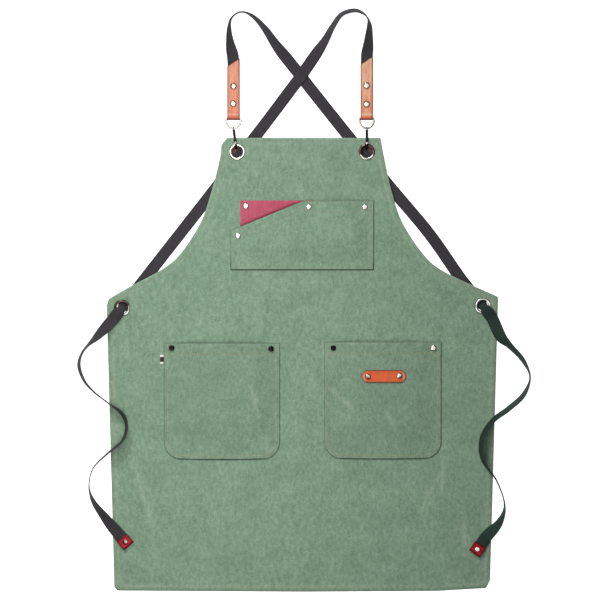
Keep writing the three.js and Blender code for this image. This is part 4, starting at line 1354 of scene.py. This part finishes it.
# %% [markdown]
# The webbing is swept along its path: one ring of points for each small step, rolled and curled as the
# table says. A curve with a bevel could be swept too, but it couldn't curl across its width in the grommet.

# %% Strap ribbons
PATH_STEPS = 24
FLAT_CURL = 0.01  # webbing curled less than this, in radians, is flat
LEAST_CURL = 1e-6


def strap_path(strap):
    """The strap's middle line at even steps: places, headings, roll, curl and distance along it."""
    fine = curve_through(strap_rows(strap), PATH_STEPS, 0.5)
    lengths = run_lengths(fine[:, :3])
    along = np.linspace(0, lengths[-1], round(lengths[-1] / WEB["step"]) + 1)
    even = at_lengths(fine, lengths, along)
    heading = unit(np.gradient(even[:, :3], axis=0))
    return even[:, :3], heading, np.radians(even[:, 3]), np.radians(np.clip(even[:, 4], 0, None)), along


def ribbon_rings(places, heading, roll, curl):
    """One ring of points round the webbing at each step."""
    flat_side = unit(np.cross((0, 0, 1), heading))
    up = np.cross(heading, flat_side)
    cos, sin = np.cos(roll)[:, None], np.sin(roll)[:, None]
    side, face = flat_side * cos + up * sin, up * cos - flat_side * sin
    share = np.linspace(-0.5, 0.5, WEB["across"])
    half = np.full(WEB["across"], WEB["thick"] / 2)
    half[[0, -1]] *= WEB["edge_thin"]
    angle = curl[:, None] * share
    radius = WEB["width"] / np.maximum(curl, LEAST_CURL)[:, None]
    flat = (curl < FLAT_CURL)[:, None]
    across = np.where(flat, WEB["width"] * share, radius * np.sin(angle))
    middle = np.sin(curl / 2) / np.maximum(curl / 2, LEAST_CURL)
    bow = np.where(flat, 0, radius * (np.cos(angle) - middle[:, None]))
    spot = places[:, None] + across[..., None] * side[:, None] + bow[..., None] * face[:, None]
    out = np.cos(angle)[..., None] * face[:, None] + np.sin(angle)[..., None] * side[:, None]
    above, below = spot + half[:, None] * out, spot - half[:, None] * out
    return np.concatenate([above, below[:, ::-1]], axis=1)


print("rings along a strap:", len(ribbon_rings(*strap_path(STRAPS[0])[:-1])))

# %% [markdown]
# The ribs of the webbing follow its whole length, so Geometry Nodes raise them along the ribbon's own
# normals, as a wave of the distance along it. That distance is an attribute of the mesh.

# %% Webbing
def rib_tree():
    """Raises ribs across a ribbon along its own normals."""
    tree = Tree("webbing_ribs", {"Pitch": "Float", "Height": "Float", "Material": "Material"})
    put = tree.inputs
    named = tree.node("GeometryNodeInputNamedAttribute", {"data_type": "FLOAT"}, {"Name": "along"})
    angle = tree.math("MULTIPLY", tree.math("DIVIDE", named["Attribute"], put["Pitch"]), 2 * math.pi)
    high = tree.math("MULTIPLY", tree.math("SINE", angle), put["Height"])
    normal = tree.node("GeometryNodeInputNormal", {}, {})[0]
    offset = tree.node("ShaderNodeVectorMath", {"operation": "SCALE"}, {0: normal, "Scale": high})[0]
    sockets = {"Geometry": put["Geometry"], "Offset": offset}
    return tree.finish(tree.node("GeometryNodeSetPosition", {}, sockets)[0])


RIBS = rib_tree()


def add_strap(strap):
    *path, along = strap_path(strap)
    rings = ribbon_rings(*path)
    mesh = raw_mesh(strap["node"], *skin(rings))
    paint(mesh, "along", np.repeat(along * MM, rings.shape[1]))
    values = {"Pitch": WEB["rib_pitch"] * MM, "Height": WEB["rib_height"] * MM, "Material": WEBBING}
    piece = RIBS.run(f"{strap['node']}_webbing", mesh, **values)
    settle(piece, [strap["node"]])
    return piece, along[-1]


STRAP_PIECES = {strap["node"]: add_strap(strap) for strap in STRAPS}
print("strap lengths, mm:", {node: round(length) for node, (_, length) in STRAP_PIECES.items()})

# %% [markdown]
# A leather tab is a strip folded round the D-ring, and a strap tip is a shorter one folded over the
# webbing. A bent plane with thickness would have square edges. Seen from the side the strip is a U, so each
# column across it is one closed U of points, and the columns at the two cut edges are thinner, which rounds
# the edges off.

# %% Folded leather
# Distance from the cut edge, share of the thickness
EDGE_ROUND = [(0, 0.35), (0.25, 0.72), (0.7, 0.95), (1.3, 1)]
INNER_COLUMNS = (0.12, 0.88, 9)  # first and last share of the width, and how many
FOLD_STEPS = {"under": 12, "lower": 9, "upper": 14, "over": 40}
UNDER_TO = 0.3  # the lower layer is straight down to this share of its length
# Darkening at cut edges, where a rivet presses, and as painted shade in the fold; and how far each reaches
BURN_AND_FOLD_SHADE = {"edge": (0.6, 2.8), "press": 0.55, "press_reach": (5.2, 8), "fold": 0.8, "fold_reach": (1, 6)}


def fold_line(length, form):
    """Middle line of folded leather from its lower end, round the fold, to its upper end: along, height."""
    low, high = form["leather"] / 2, form["leather"] * 1.5 + form["inside"]
    middle, run = (low + high) / 2, form["run"]
    bend = middle - low
    turn = np.linspace(-math.pi / 2, 0, FOLD_STEPS["lower"])[:-1]
    rounding = np.linspace(0, math.pi / 2, FOLD_STEPS["upper"])
    under = [(length * share, low) for share in np.linspace(1, UNDER_TO, FOLD_STEPS["under"])]
    lower = [(low + bend * (1 + np.cos(a + math.pi)), middle + bend * np.sin(a)) for a in turn]
    upper = [(low + run * (1 - np.cos(a)), middle + (high - middle) * np.sin(a)) for a in rounding]
    over = []
    for along in np.linspace(low + run, length, FOLD_STEPS["over"])[1:]:
        dip = sum(depth * bell(along - at, reach) for at, depth, reach in form["dips"])
        over.append((along, high - dip))
    return np.array(under + lower + upper + over)


def burnt_and_shaded_share(form, ring, length, across):
    """How dark the leather is on one U of points."""
    to_end = np.minimum(np.abs(length - ring[:, 0]), min(across, form["width"] - across))
    burnt_and_shaded = 1 - smooth_step(to_end, *BURN_AND_FOLD_SHADE["edge"])
    for at in form["pressed"]:
        away = np.hypot(ring[:, 0] - at, across - form["width"] / 2)
        burnt_and_shaded = np.maximum(burnt_and_shaded, BURN_AND_FOLD_SHADE["press"] * (1 - smooth_step(away, *BURN_AND_FOLD_SHADE["press_reach"])))
    # In the fold the darkening is painted shade.
    return np.maximum(burnt_and_shaded, BURN_AND_FOLD_SHADE["fold"] * (1 - smooth_step(ring[:, 0], *BURN_AND_FOLD_SHADE["fold_reach"])))


def fold_columns(width):
    """Places across the strip, each with its share of the thickness."""
    inner = [(width * share, 1) for share in np.linspace(*INNER_COLUMNS)]
    return [*EDGE_ROUND, *inner, *[(width - away, share) for away, share in EDGE_ROUND[::-1]]]


def folded_piece(node, form, place, turn, material, pale):
    """A strip that lies along Y from its fold, turned and placed; ends are its lengths at both sides."""
    width, (first, last) = form["width"], form["ends"]
    rings, edge, light = [], [], []
    for across, share in fold_columns(width):
        length = first + (last - first) * across / width
        line = fold_line(length, form)
        heading = unit(np.gradient(line, axis=0))
        normal = np.stack([-heading[:, 1], heading[:, 0]], 1) * form["leather"] / 2 * share
        ring = np.concatenate([line - normal, (line + normal)[::-1]])
        rings.append(np.stack([np.full(len(ring), across - width / 2), *ring.T], 1))
        edge.append(burnt_and_shaded_share(form, ring, length, across))
        # pale: a painted highlight on the leather
        light.append(form["highlight"] * pale(ring[:, 0], across / width))
    points, faces = skin(rings)
    piece = add_piece(f"{node}_leather", turned(points, turn, place), faces, material, [node])
    paint(piece.data, "edge", np.concatenate(edge))
    paint(piece.data, "pale", np.concatenate(light))
    return piece


print("columns across folded leather:", len(fold_columns(TIP["width"])))

# %% [markdown]
# The two tabs take their length and place from the CAD model. Each carries a painted highlight, palest
# towards its upper end, and its fold has a painted bright crease over a band of painted shade. The red
# tips lie along the last stretch of their ties, with a painted highlight across them.

# %% Tabs and tips
TAB = {"leather": 1.8, "inside": 2.8, "run": 10}
TAB_SHORTER = 14.5  # how much shorter the left edge of a tab is than its right one
TAB_DIP = {"depth": 0.5, "reach": 9}
TAB_CREASE_DIP = (17, 0.4, 5)
# Painted highlights on the tabs, with a bright crease in the fold, and across the red tips
TAB_HIGHLIGHT = {"left": 0.65, "right": 1.2}
TAB_BODY = {"pale": 0.5, "upper": 0.4, "upper_run": (12, 80), "fold": 0.3, "fold_run": (5, 10)}
TAB_CREASE = {"pale": 0.8, "at": 9.8, "width": 1.7}
TAB_ACROSS = {"wave": 0.35, "palest_at": 0.4, "turn": 2.6}
TIP_HIGHLIGHT = {"pale": 0.5, "at": 5, "width": 3.5}
TIP_DIP = {"depth": 0.35, "reach": 5}


def tab_highlight(along, across):
    body = TAB_BODY["pale"] + TAB_BODY["upper"] * smooth_step(along, *TAB_BODY["upper_run"])
    clear_of_fold = TAB_BODY["fold"] + (1 - TAB_BODY["fold"]) * smooth_step(along, *TAB_BODY["fold_run"])
    crease = TAB_CREASE["pale"] * bell(along - TAB_CREASE["at"], TAB_CREASE["width"])
    wave = TAB_ACROSS["wave"] * math.cos((across - TAB_ACROSS["palest_at"]) * TAB_ACROSS["turn"])
    return np.clip(body * clear_of_fold + crease, 0, 1) * (1 - TAB_ACROSS["wave"] + wave)


def tip_highlight(along, _across):
    return TIP_HIGHLIGHT["pale"] * bell(along - TIP_HIGHLIGHT["at"], TIP_HIGHLIGHT["width"])


def add_tab(side):
    node = f"shoulder_tab_{side}"
    low, high = node_box(node)
    length = high[1] - low[1]
    rivets = [middle_of(f"rivet_tab_{side}_{level}")[1] - low[1] for level in ("upper", "lower")]
    dips = [(at, TAB_DIP["depth"], TAB_DIP["reach"]) for at in rivets]
    form = {
        **TAB, "width": high[0] - low[0], "ends": (length - TAB_SHORTER, length), "pressed": rivets,
        "dips": [*dips, TAB_CREASE_DIP], "highlight": TAB_HIGHLIGHT[side],
    }
    place = ((low[0] + high[0]) / 2, low[1], 0)
    folded_piece(node, form, place, 0.0, TAN_LEATHER, tab_highlight)


def add_tip(strap):
    before, end = np.array(strap_rows(strap)[-2:])[:, :3]
    ahead = unit((end - before)[:2])
    fold = TIP["leather"] + TIP["inside"] / 2
    form = {
        **TIP, "ends": (TIP["length"], TIP["length"]), "pressed": [], "highlight": 1.0,
        "dips": [(TIP["rivet"], TIP_DIP["depth"], TIP_DIP["reach"])],
    }
    place = (*(end[:2] + ahead * fold), end[2] - fold)
    turn = math.atan2(-ahead[1], -ahead[0]) - math.pi / 2
    folded_piece(strap["tip_node"], form, place, turn, RED_LEATHER, tip_highlight)


for tab_side in ("left", "right"):
    add_tab(tab_side)
for tied_strap in STRAPS:
    add_tip(tied_strap)

# %% [markdown]
# The leather strip on the right pocket is a flat blank with round ends. A bevelled box would stay flat, and
# this strip follows the pocket below it, with its rivets pulling it down a little at both ends. So rings of
# points run from the rim to the middle, which also lets the rim be rounded.

# %% Leather strip
STRIP = {"thick": 1.8, "points": 96, "pinch": 0.5, "pinch_reach": 9, "burnt_and_shaded": (0.3, 2.2)}
# Painted highlight towards both round ends, where the strip curves down to its rivets
STRIP_HIGHLIGHT = {"share": 0.45, "from_end": 11, "run": 9}
# Distance in from the rim, share of the thickness
STRIP_RIM = [(0, 0.35), (0.3, 0.75), (0.8, 0.96), (1.6, 1), (4, 1), (7, 1), (9.5, 1)]
STRIP_RIVETS = ["rivet_strip_left", "rivet_strip_right"]


def stadium(low, high, inward):
    """Points round a strip with round ends."""
    reach = (high[1] - low[1]) / 2
    radius, middle = reach - inward, (low[1] + high[1]) / 2
    turn = np.linspace(-math.pi / 2, math.pi / 2, STRIP["points"] // 2)
    back = turn[::-1]
    right = np.stack([high[0] - reach + radius * np.cos(turn), middle + radius * np.sin(turn)], 1)
    left = np.stack([low[0] + reach - radius * np.cos(back), middle + radius * np.sin(back)], 1)
    return np.concatenate([right, left])


def add_strip():
    low, high = flat_box("leather_strip")
    on_pocket = pocket_top("hip_pocket_right")
    upper, lower, edge = [], [], []
    for depth, share in STRIP_RIM:
        x, y = stadium(low, high, depth).T
        base = on_pocket(x, y) + GAP
        for node in STRIP_RIVETS:
            px, py, _ = middle_of(node)
            base = base - STRIP["pinch"] * bell(np.hypot(x - px, y - py), STRIP["pinch_reach"])
        middle, half = base + STRIP["thick"] / 2, STRIP["thick"] / 2 * share
        upper.append(np.stack([x, y, middle + half], 1))
        lower.append(np.stack([x, y, middle - half], 1))
        edge.append(np.full(len(x), 1 - float(smooth_step(depth, *STRIP["burnt_and_shaded"]))))
    points, faces = skin(lower[::-1] + upper)
    strip = add_piece("leather_strip_leather", points, faces, TAN_LEATHER, ["leather_strip"])
    x, reach = points[:, 0], STRIP_HIGHLIGHT["from_end"]
    to_ends = np.maximum(low[0] + reach - x, x - high[0] + reach)
    paint(strip.data, "edge", np.concatenate(edge[::-1] + edge))
    # pale: a painted highlight towards both ends
    paint(strip.data, "pale", STRIP_HIGHLIGHT["share"] * smooth_step(to_ends, 0, STRIP_HIGHLIGHT["run"]))
    return strip


print("strip faces:", len(add_strip().data.polygons))

# %% [markdown]
# Sixteen rivets are alike, so Geometry Nodes set one turned cap on every rivet point. The cap is a lathe
# shape made once. The bright and the dark rivets are two runs of one tree, because they differ only in
# their points and their metal. Some caps mirror more of the dim room than others, so a painted dark
# reflection is laid on cap by cap.

# %% Rivets
RIVET = {"cap": 5, "dome": 1.9, "turns": 24}
# Radius and height
RIVET_PROFILE = [
    (0, 1.9), (1.4, 1.88), (2.4, 1.83), (3.2, 1.74), (3.8, 1.6), (4.4, 1.32), (4.8, 0.9),
    (5.0, 0.4), (5.0, 0.1), (4.9, 0), (1.5, -0.1), (1.5, -2.4), (0, -2.4),
]
DARK_RIVETS = ["rivet_hip_left_inner", "rivet_hip_left_outer", "rivet_hip_right_inner"]
# Where the painted dark reflection on the rim starts, and how strong it is
RIVET_RIM = {
    "rivet_bib": (4.2, 0.5), "rivet_tab": (3.9, 0.9), "rivet_strip": (3.4, 0.9), "rivet_tip": (3.4, 0.8),
    "rivet_hip": (4, 0.6),
}
RIM_RUN = 0.9
# Painted dark reflection on a cap all over, the extra on one side, and where that side faces, degrees from +X
RIVET_DARK_REFLECTION = {
    "rivet_tip_left": (0.92, 0.08, 225),
    "rivet_strip_left": (0.3, 0.7, 250),
    "rivet_strip_right": (0.0, 0.9, 300),
    "rivet_tab_left_upper": (0.1, 0.7, 170),
}
DARKER_SIDE_FROM = (-0.1, 0.35)  # shares of the cap's radius between which its darker side begins


def lathe(profile, turns):
    """Points and faces of a profile of radius and height turned about Z; radius 0 closes on the axis."""
    angle = circle(turns)
    points, rows = [], []
    for radius, height in profile:
        spots = zip(radius * np.cos(angle), radius * np.sin(angle)) if radius else [(0, 0)]
        ring = [(x, y, height) for x, y in spots]
        rows.append(range(len(points), len(points) + len(ring)))
        points += ring
    faces = []
    for here, there in zip(rows, rows[1:]):
        for k in range(turns):
            a, b = here[k % len(here)], here[(k + 1) % len(here)]
            c, d = there[(k + 1) % len(there)], there[k % len(there)]
            faces.append(tuple(dict.fromkeys((a, d, c, b))))
    return np.array(points, float), faces


def rivet_tree():
    tree = Tree("rivets", {"Cap": "Object", "Material": "Material"})
    put = tree.inputs
    shape = tree.node("GeometryNodeObjectInfo", {}, {"Object": put["Cap"]})["Geometry"]
    spots = tree.node("GeometryNodeMeshToPoints", {}, {"Mesh": put["Geometry"]})[0]
    return tree.finish(tree.node("GeometryNodeInstanceOnPoints", {}, {"Points": spots, "Instance": shape})[0])


def rivet_rim(node, points):
    """Painted dark reflection on the points of one cap."""
    start, share = next(values for kind, values in RIVET_RIM.items() if node.startswith(kind))
    x, y, _ = points.T
    rim = share * smooth_step(np.hypot(x, y), start, start + RIM_RUN)
    dark_reflection_share, side, facing = RIVET_DARK_REFLECTION.get(node, (0, 0, 0))
    towards = x * math.cos(math.radians(facing)) + y * math.sin(math.radians(facing))
    return np.maximum(rim, dark_reflection_share + side * smooth_step(towards / RIVET["cap"], *DARKER_SIDE_FROM))


def add_rivets():
    points, faces = lathe(RIVET_PROFILE, RIVET["turns"])
    cap = place_in_scene("rivet_cap", raw_mesh("rivet_cap", points, faces))
    tree = rivet_tree()
    every = sorted(node for node in frame["nodes"] if node.startswith("rivet_"))
    bright = [node for node in every if node not in DARK_RIVETS]
    runs = [("bright", bright, NICKEL, "nickel"), ("dark", DARK_RIVETS, DARK_METAL, "dark_metal")]
    for kind, nodes, metal, slot in runs:
        name = f"rivets_{kind}"
        feet = [(*middle_of(node)[:2], node_box(node)[1][2] - RIVET["dome"] - GAP) for node in nodes]
        rivets = tree.run(name, raw_mesh(name, feet), Cap=cap, Material=metal)
        settle(rivets, nodes)
        # rim: painted dark reflection, cap by cap
        paint(rivets.data, "rim", np.concatenate([rivet_rim(node, points) for node in nodes]))
    bpy.data.objects.remove(cap)
    return len(every)


print("rivets:", add_rivets())

# %% [markdown]
# A grommet is rolled metal: a flange with a round back in front, a barrel through the cloth and a washer
# behind. A torus would miss the barrel, so its whole section is turned round its axis, fine enough to look
# round up close. A painted dark reflection lies on the foot of the roll and the barrel, and on two of the
# rings all over but for a bright crescent.

# %% Grommets
GROMMET = {"hole": 9.75, "barrel": 10.7, "flange": 14.4, "washer": 14, "washer_depth": 1, "dome": 2.1}
GROMMET_STEPS = {"turns": 72, "roll": 17, "barrel": 5}
CHAMFER = {"hole": 0.4, "washer": 0.3, "barrel": 0.1}
ROLL_MIDDLE = (GROMMET["flange"] + GROMMET["hole"]) / 2
ROLL_HALF = (GROMMET["flange"] - GROMMET["hole"]) / 2
FRONT = CLOTH + GAP
# Painted dark reflection on a ring, and the middle and half width of the bright crescent left on it, in
# degrees from +X
GROMMET_DARK_REFLECTION = {
    "grommet_bib_left": (0.0, 0, 180),
    "grommet_bib_right": (1.0, -90, 62),
    "grommet_waist_left": (1.0, -25, 40),
    "grommet_waist_right": (0.0, 0, 180),
}
CRESCENT_RUN = 15
FOOT = {"dark_reflection_share": 0.6, "from": 0.8, "to": 1.0}  # painted dark reflection at the foot of the roll, by share of its half width
BARREL_FROM = 0.05  # all of the section is painted dark from so far below the front


def grommet_profile():
    low, hole, washer = -GAP - GROMMET["washer_depth"], GROMMET["hole"], GROMMET["washer"]
    arc = np.linspace(0, math.pi, GROMMET_STEPS["roll"])
    roll = [(ROLL_MIDDLE + ROLL_HALF * math.cos(a), FRONT + GROMMET["dome"] * math.sin(a)) for a in arc]
    depths = np.linspace(FRONT, low + CHAMFER["hole"], GROMMET_STEPS["barrel"])[1:]
    inside = [(hole, z) for z in depths]
    behind = [
        (hole + CHAMFER["hole"], low), (washer - CHAMFER["washer"], low), (washer, low + CHAMFER["washer"]),
        (washer, -GAP),
    ]
    barrel = GROMMET["barrel"]
    return [(barrel, FRONT - CHAMFER["barrel"]), *roll, *inside, *behind, (barrel, -GAP)]


def grommet_rim(profile, angle, dark_reflection_values):
    """Painted dark reflection on the rings of points: the foot of the roll, all of the barrel and the ring's
    dark part.
    """
    radius, height = np.array(profile).T
    foot = FOOT["dark_reflection_share"] * smooth_step(np.abs(radius - ROLL_MIDDLE) / ROLL_HALF, FOOT["from"], FOOT["to"])
    section = np.where(height < FRONT - BARREL_FROM, 1.0, foot)
    dark_reflection_share, bright, reach = dark_reflection_values
    turned_off = np.abs((np.degrees(angle) - bright + 180) % 360 - 180)
    ring = dark_reflection_share * smooth_step(turned_off, reach - CRESCENT_RUN, reach + CRESCENT_RUN)
    return np.maximum(section, ring[:, None]).ravel()


def add_grommets():
    profile, angle = grommet_profile(), circle(GROMMET_STEPS["turns"])
    for node, (x, y) in zip(GROMMET_NAMES, EYES):
        base = float(drape(x, y))
        rings = [[(x + r * math.cos(a), y + r * math.sin(a), base + z) for r, z in profile] for a in angle]
        points, faces = skin(rings, closed=True)
        metal = add_piece(f"{node}_metal", points, faces, NICKEL, [node])
        paint(metal.data, "rim", grommet_rim(profile, angle, GROMMET_DARK_REFLECTION[node]))


add_grommets()
print("grommet section points:", len(grommet_profile()))

# %% [markdown]
# The D-ring is one bent wire. A curve with a round bevel would do for a round wire, but this one is broader
# than it is high, and its flanks carry a painted dark reflection, so an oval section is swept round a closed
# track of points.

# %% D-rings
RING = {"wire": 1.1, "wire_across": 1.7, "width": 25.6, "corner": 3.0, "drop": 17.5, "rise": 1, "steps": 96}
RING_CORNER = {"in": 0.3, "low": 0.5, "high": 0.4, "down": 0.2}  # low and high are shares of the corner
BOW_POINTS = 40
WIRE_TURN = circle(14)  # angles round the section of a wire
# Painted dark reflection on the wire: some on top, more on its flanks
FLANK = {"top": 0.35, "more": 0.65, "from": 0.1, "to": 0.6}


def wire(track, half_along, half_across, along, power=1.0):
    """A closed wire round a track; a power under 1 squares its oval section off."""
    track = np.asarray(track, float)
    heading = unit(np.roll(track, -1, axis=0) - np.roll(track, 1, axis=0))
    across = unit(np.cross(along, heading))
    cos, sin = (np.sign(part) * np.abs(part) ** power for part in (np.cos(WIRE_TURN), np.sin(WIRE_TURN)))
    up = (half_along * cos)[:, None] * np.asarray(along, float)
    rings = track[:, None] + up + (half_across * sin)[:, None] * across[:, None]
    return skin(rings, closed=True)


def ring_track():
    half, drop, corner = RING["width"] / 2, RING["drop"], RING["corner"]
    arc = np.linspace(0, math.pi, BOW_POINTS)
    bow = [(half * math.cos(a), -corner - (drop - corner) * math.sin(a)) for a in arc]
    left = [
        (-half + RING_CORNER["in"], -corner * RING_CORNER["low"]),
        (-half + corner * RING_CORNER["high"], -RING_CORNER["down"]),
        (-half + corner, 0),
    ]
    right = [(-x, y) for x, y in left[::-1]]
    even = spread([*bow, *left, *right, bow[0]], RING["steps"] + 1)[:-1]
    return np.column_stack([even, -even[:, 1] / drop * RING["rise"]])


def ring_bar(side):
    """Middle of the straight bar of a D-ring."""
    low, high = node_box(f"d_ring_{side}")
    return (low[0] + high[0]) / 2, high[1] - RING["wire"], low[2] + RING["wire"]


def add_ring(side):
    node = f"d_ring_{side}"
    points, faces = wire(ring_track(), RING["wire"], RING["wire_across"], (0, 0, 1))
    ring = add_piece(f"{node}_metal", points + ring_bar(side), faces, NICKEL, [node])
    flank = smooth_step(np.abs(np.sin(WIRE_TURN)), FLANK["from"], FLANK["to"])
    paint(ring.data, "rim", np.tile(FLANK["top"] + FLANK["more"] * flank, RING["steps"]))
    return ring


print("wire in a D-ring, mm:", round(run_lengths(ring_track())[-1]))

# %% [markdown]
# The snap hook hangs from the ring by a swivel eye. Seen from above it stands on its edge, a narrow dark
# bar from the ring to the grommet. Each side's ring and hook are made together. The hook's loop and eye are
# swept wires, and its swivel barrel and knob are lathe shapes, the barrel laid along its own axis.

# %% Snap hooks
HOOK = {
    "eye": 2.6, "eye_wire": 0.9, "top": 9.5, "end": 37,
    "bar": 2.8, "bar_width": 4.6, "low": 2.3, "high": 13.5,
}
HOOK_STEPS = {"bend": 15, "loop": 96, "eye": 36, "lathe": 20}
HOOK_SQUARE = 0.6
# Radius and height
SWIVEL = [
    (0, 0), (1.5, 0), (2.4, 0.5), (2.6, 1.4), (2.6, 3.6),
    (2.1, 4.4), (2.1, 6), (2.6, 6.4), (2.6, 7.4), (0, 7.6),
]
SWIVEL_FROM = -2.8
KNOB = [(0, 2.3), (1.2, 2.1), (2.0, 1.4), (2.4, 0.4), (2.2, -0.8), (1.3, -1.8), (0, -2)]
KNOB_AT = {"down": 26.5, "up": 0.6}
# Painted dark reflection on the swivel eye, none on the knob
SWIVEL_DARK_REFLECTION = {"eye": 0.85, "knob": 0.0}
LEANS = {"left": 8, "right": 0}  # degrees
HOOK_MIDDLE = (HOOK["low"] + HOOK["high"]) / 2


def hook_track():
    bend = (HOOK["high"] - HOOK["low"] - HOOK["bar"]) / 2
    outer = bend + HOOK["bar"] / 2
    track = []
    for y, start in ((-HOOK["end"] + outer, math.pi / 2), (-HOOK["top"] - outer, -math.pi / 2)):
        arc = np.linspace(start, start + math.pi, HOOK_STEPS["bend"])
        track += [(0, y + bend * math.cos(a), HOOK_MIDDLE + bend * math.sin(a)) for a in arc]
    return spread([*track, track[0]], HOOK_STEPS["loop"] + 1)[:-1]


def joined(*shapes):
    points, faces, start = [], [], 0
    for shape_points, shape_faces in shapes:
        points.append(shape_points)
        faces += [tuple(k + start for k in face) for face in shape_faces]
        start += len(shape_points)
    return np.concatenate(points), faces


def laid(profile, start, end):
    """A lathe shape from one point towards another, both at x 0."""
    points, faces = lathe(profile, HOOK_STEPS["lathe"])
    axis = unit(np.array(end, float) - start)
    frame_axes = np.array([(1.0, 0, 0), np.cross((1, 0, 0), axis), axis])
    return np.array(start) + points @ frame_axes, faces


def add_hook(side):
    x, bar_y, bar_z = ring_bar(side)
    place, lean = (x, bar_y - RING["drop"], 0), math.radians(LEANS[side])
    eye_z, turn = bar_z + RING["rise"], circle(HOOK_STEPS["eye"])
    loop = wire(hook_track(), HOOK["bar_width"] / 2, HOOK["bar"] / 2, (1, 0, 0), power=HOOK_SQUARE)
    barrel = laid(SWIVEL, (0, SWIVEL_FROM, eye_z), (0, -HOOK["top"] - HOOK["bar"] / 2, HOOK_MIDDLE))
    points, faces = joined(loop, barrel)
    node = f"snap_hook_{side}"
    add_piece(f"{node}_loop", turned(points, lean, place), faces, DARK_METAL, [node])
    eye_track = np.stack([0 * turn, HOOK["eye"] * np.cos(turn), eye_z + HOOK["eye"] * np.sin(turn)], 1)
    eye = wire(eye_track, HOOK["eye_wire"], HOOK["eye_wire"], (1, 0, 0))
    knob_points, knob_faces = lathe(KNOB, HOOK_STEPS["lathe"])
    knob_z = HOOK["high"] - HOOK["bar"] / 2 + KNOB_AT["up"]
    knob = knob_points + (0, -KNOB_AT["down"], knob_z), knob_faces
    points, faces = joined(eye, knob)
    swivel = add_piece(f"{node}_swivel", turned(points, lean, place), faces, NICKEL)
    counts = [len(eye[0]), len(knob_points)]
    paint(swivel.data, "rim", np.repeat([SWIVEL_DARK_REFLECTION["eye"], SWIVEL_DARK_REFLECTION["knob"]], counts))
    return swivel


for fitting_side in LEANS:
    ring_piece, swivel_piece = add_ring(fitting_side), add_hook(fitting_side)
    print("fittings:", ring_piece.name, swivel_piece.name)

# %% [markdown]
# A short ribbon is caught in the left pocket's side seam. It is folded over, so its outer end is a small
# round loop, swept from one section. Its stripe needs no picture: the finish measures the distance from its
# middle.

# %% Side label
LABEL = {"fold_points": 9, "rows": 12, "grain": 0.8, "band": 0.27, "band_edge": 4}


def ribbon_finish(middle, half_band):
    finish = Finish("label_ribbon")
    place = finish.place()
    grain = finish.noise(place, LABEL["grain"], 1.0)
    off_middle = (finish.axis(place, "Y") - middle).unsigned()
    band = (half_band - off_middle) * LABEL["band_edge"]
    pale = finish.mix(grain, linear(222, 214, 208), linear(248, 244, 240))
    return finish.look(
        Base_Color=finish.mix(band.clamp(), pale, linear(58, 18, 20)),
        Roughness=0.7 + 0.2 * grain,
        Normal=finish.bump(grain, 0.1, 0.4),
    )


def add_label():
    low, high = node_box("pocket_side_label")
    half = (high[2] - low[2]) / 2
    turn = np.linspace(math.pi / 2, 1.5 * math.pi, LABEL["fold_points"])
    fold = [(low[0] + half + half * math.cos(a), low[2] + half + half * math.sin(a)) for a in turn]
    section = [(high[0], high[2]), *fold, (high[0], low[2])]
    rings = [[(x, y, z) for x, z in section] for y in np.linspace(low[1], high[1], LABEL["rows"])]
    points, faces = skin(rings)
    ribbon = ribbon_finish((low[1] + high[1]) / 2, (high[1] - low[1]) * LABEL["band"])
    return add_piece("pocket_side_label_ribbon", points, faces, ribbon, ["pocket_side_label"])


print("label faces:", len(add_label().data.polygons))

# %% [markdown]
# The panel and the pockets aren't rectangles, so their areas are worked out from their outlines.

def outline_area(outline):
    x, y = np.asarray(outline).T
    return abs(float(np.sum(x * np.roll(y, -1) - y * np.roll(x, -1)))) / 2 * MM * MM


for node, piece in POCKETS.items():
    outline_area(around(*pocket_edges(node)))
for strap_piece, strap_length in STRAP_PIECES.values():
    strap_length * MM
print("panel area, square metres:", round(outline_area(PANEL_OUTLINE), 3))
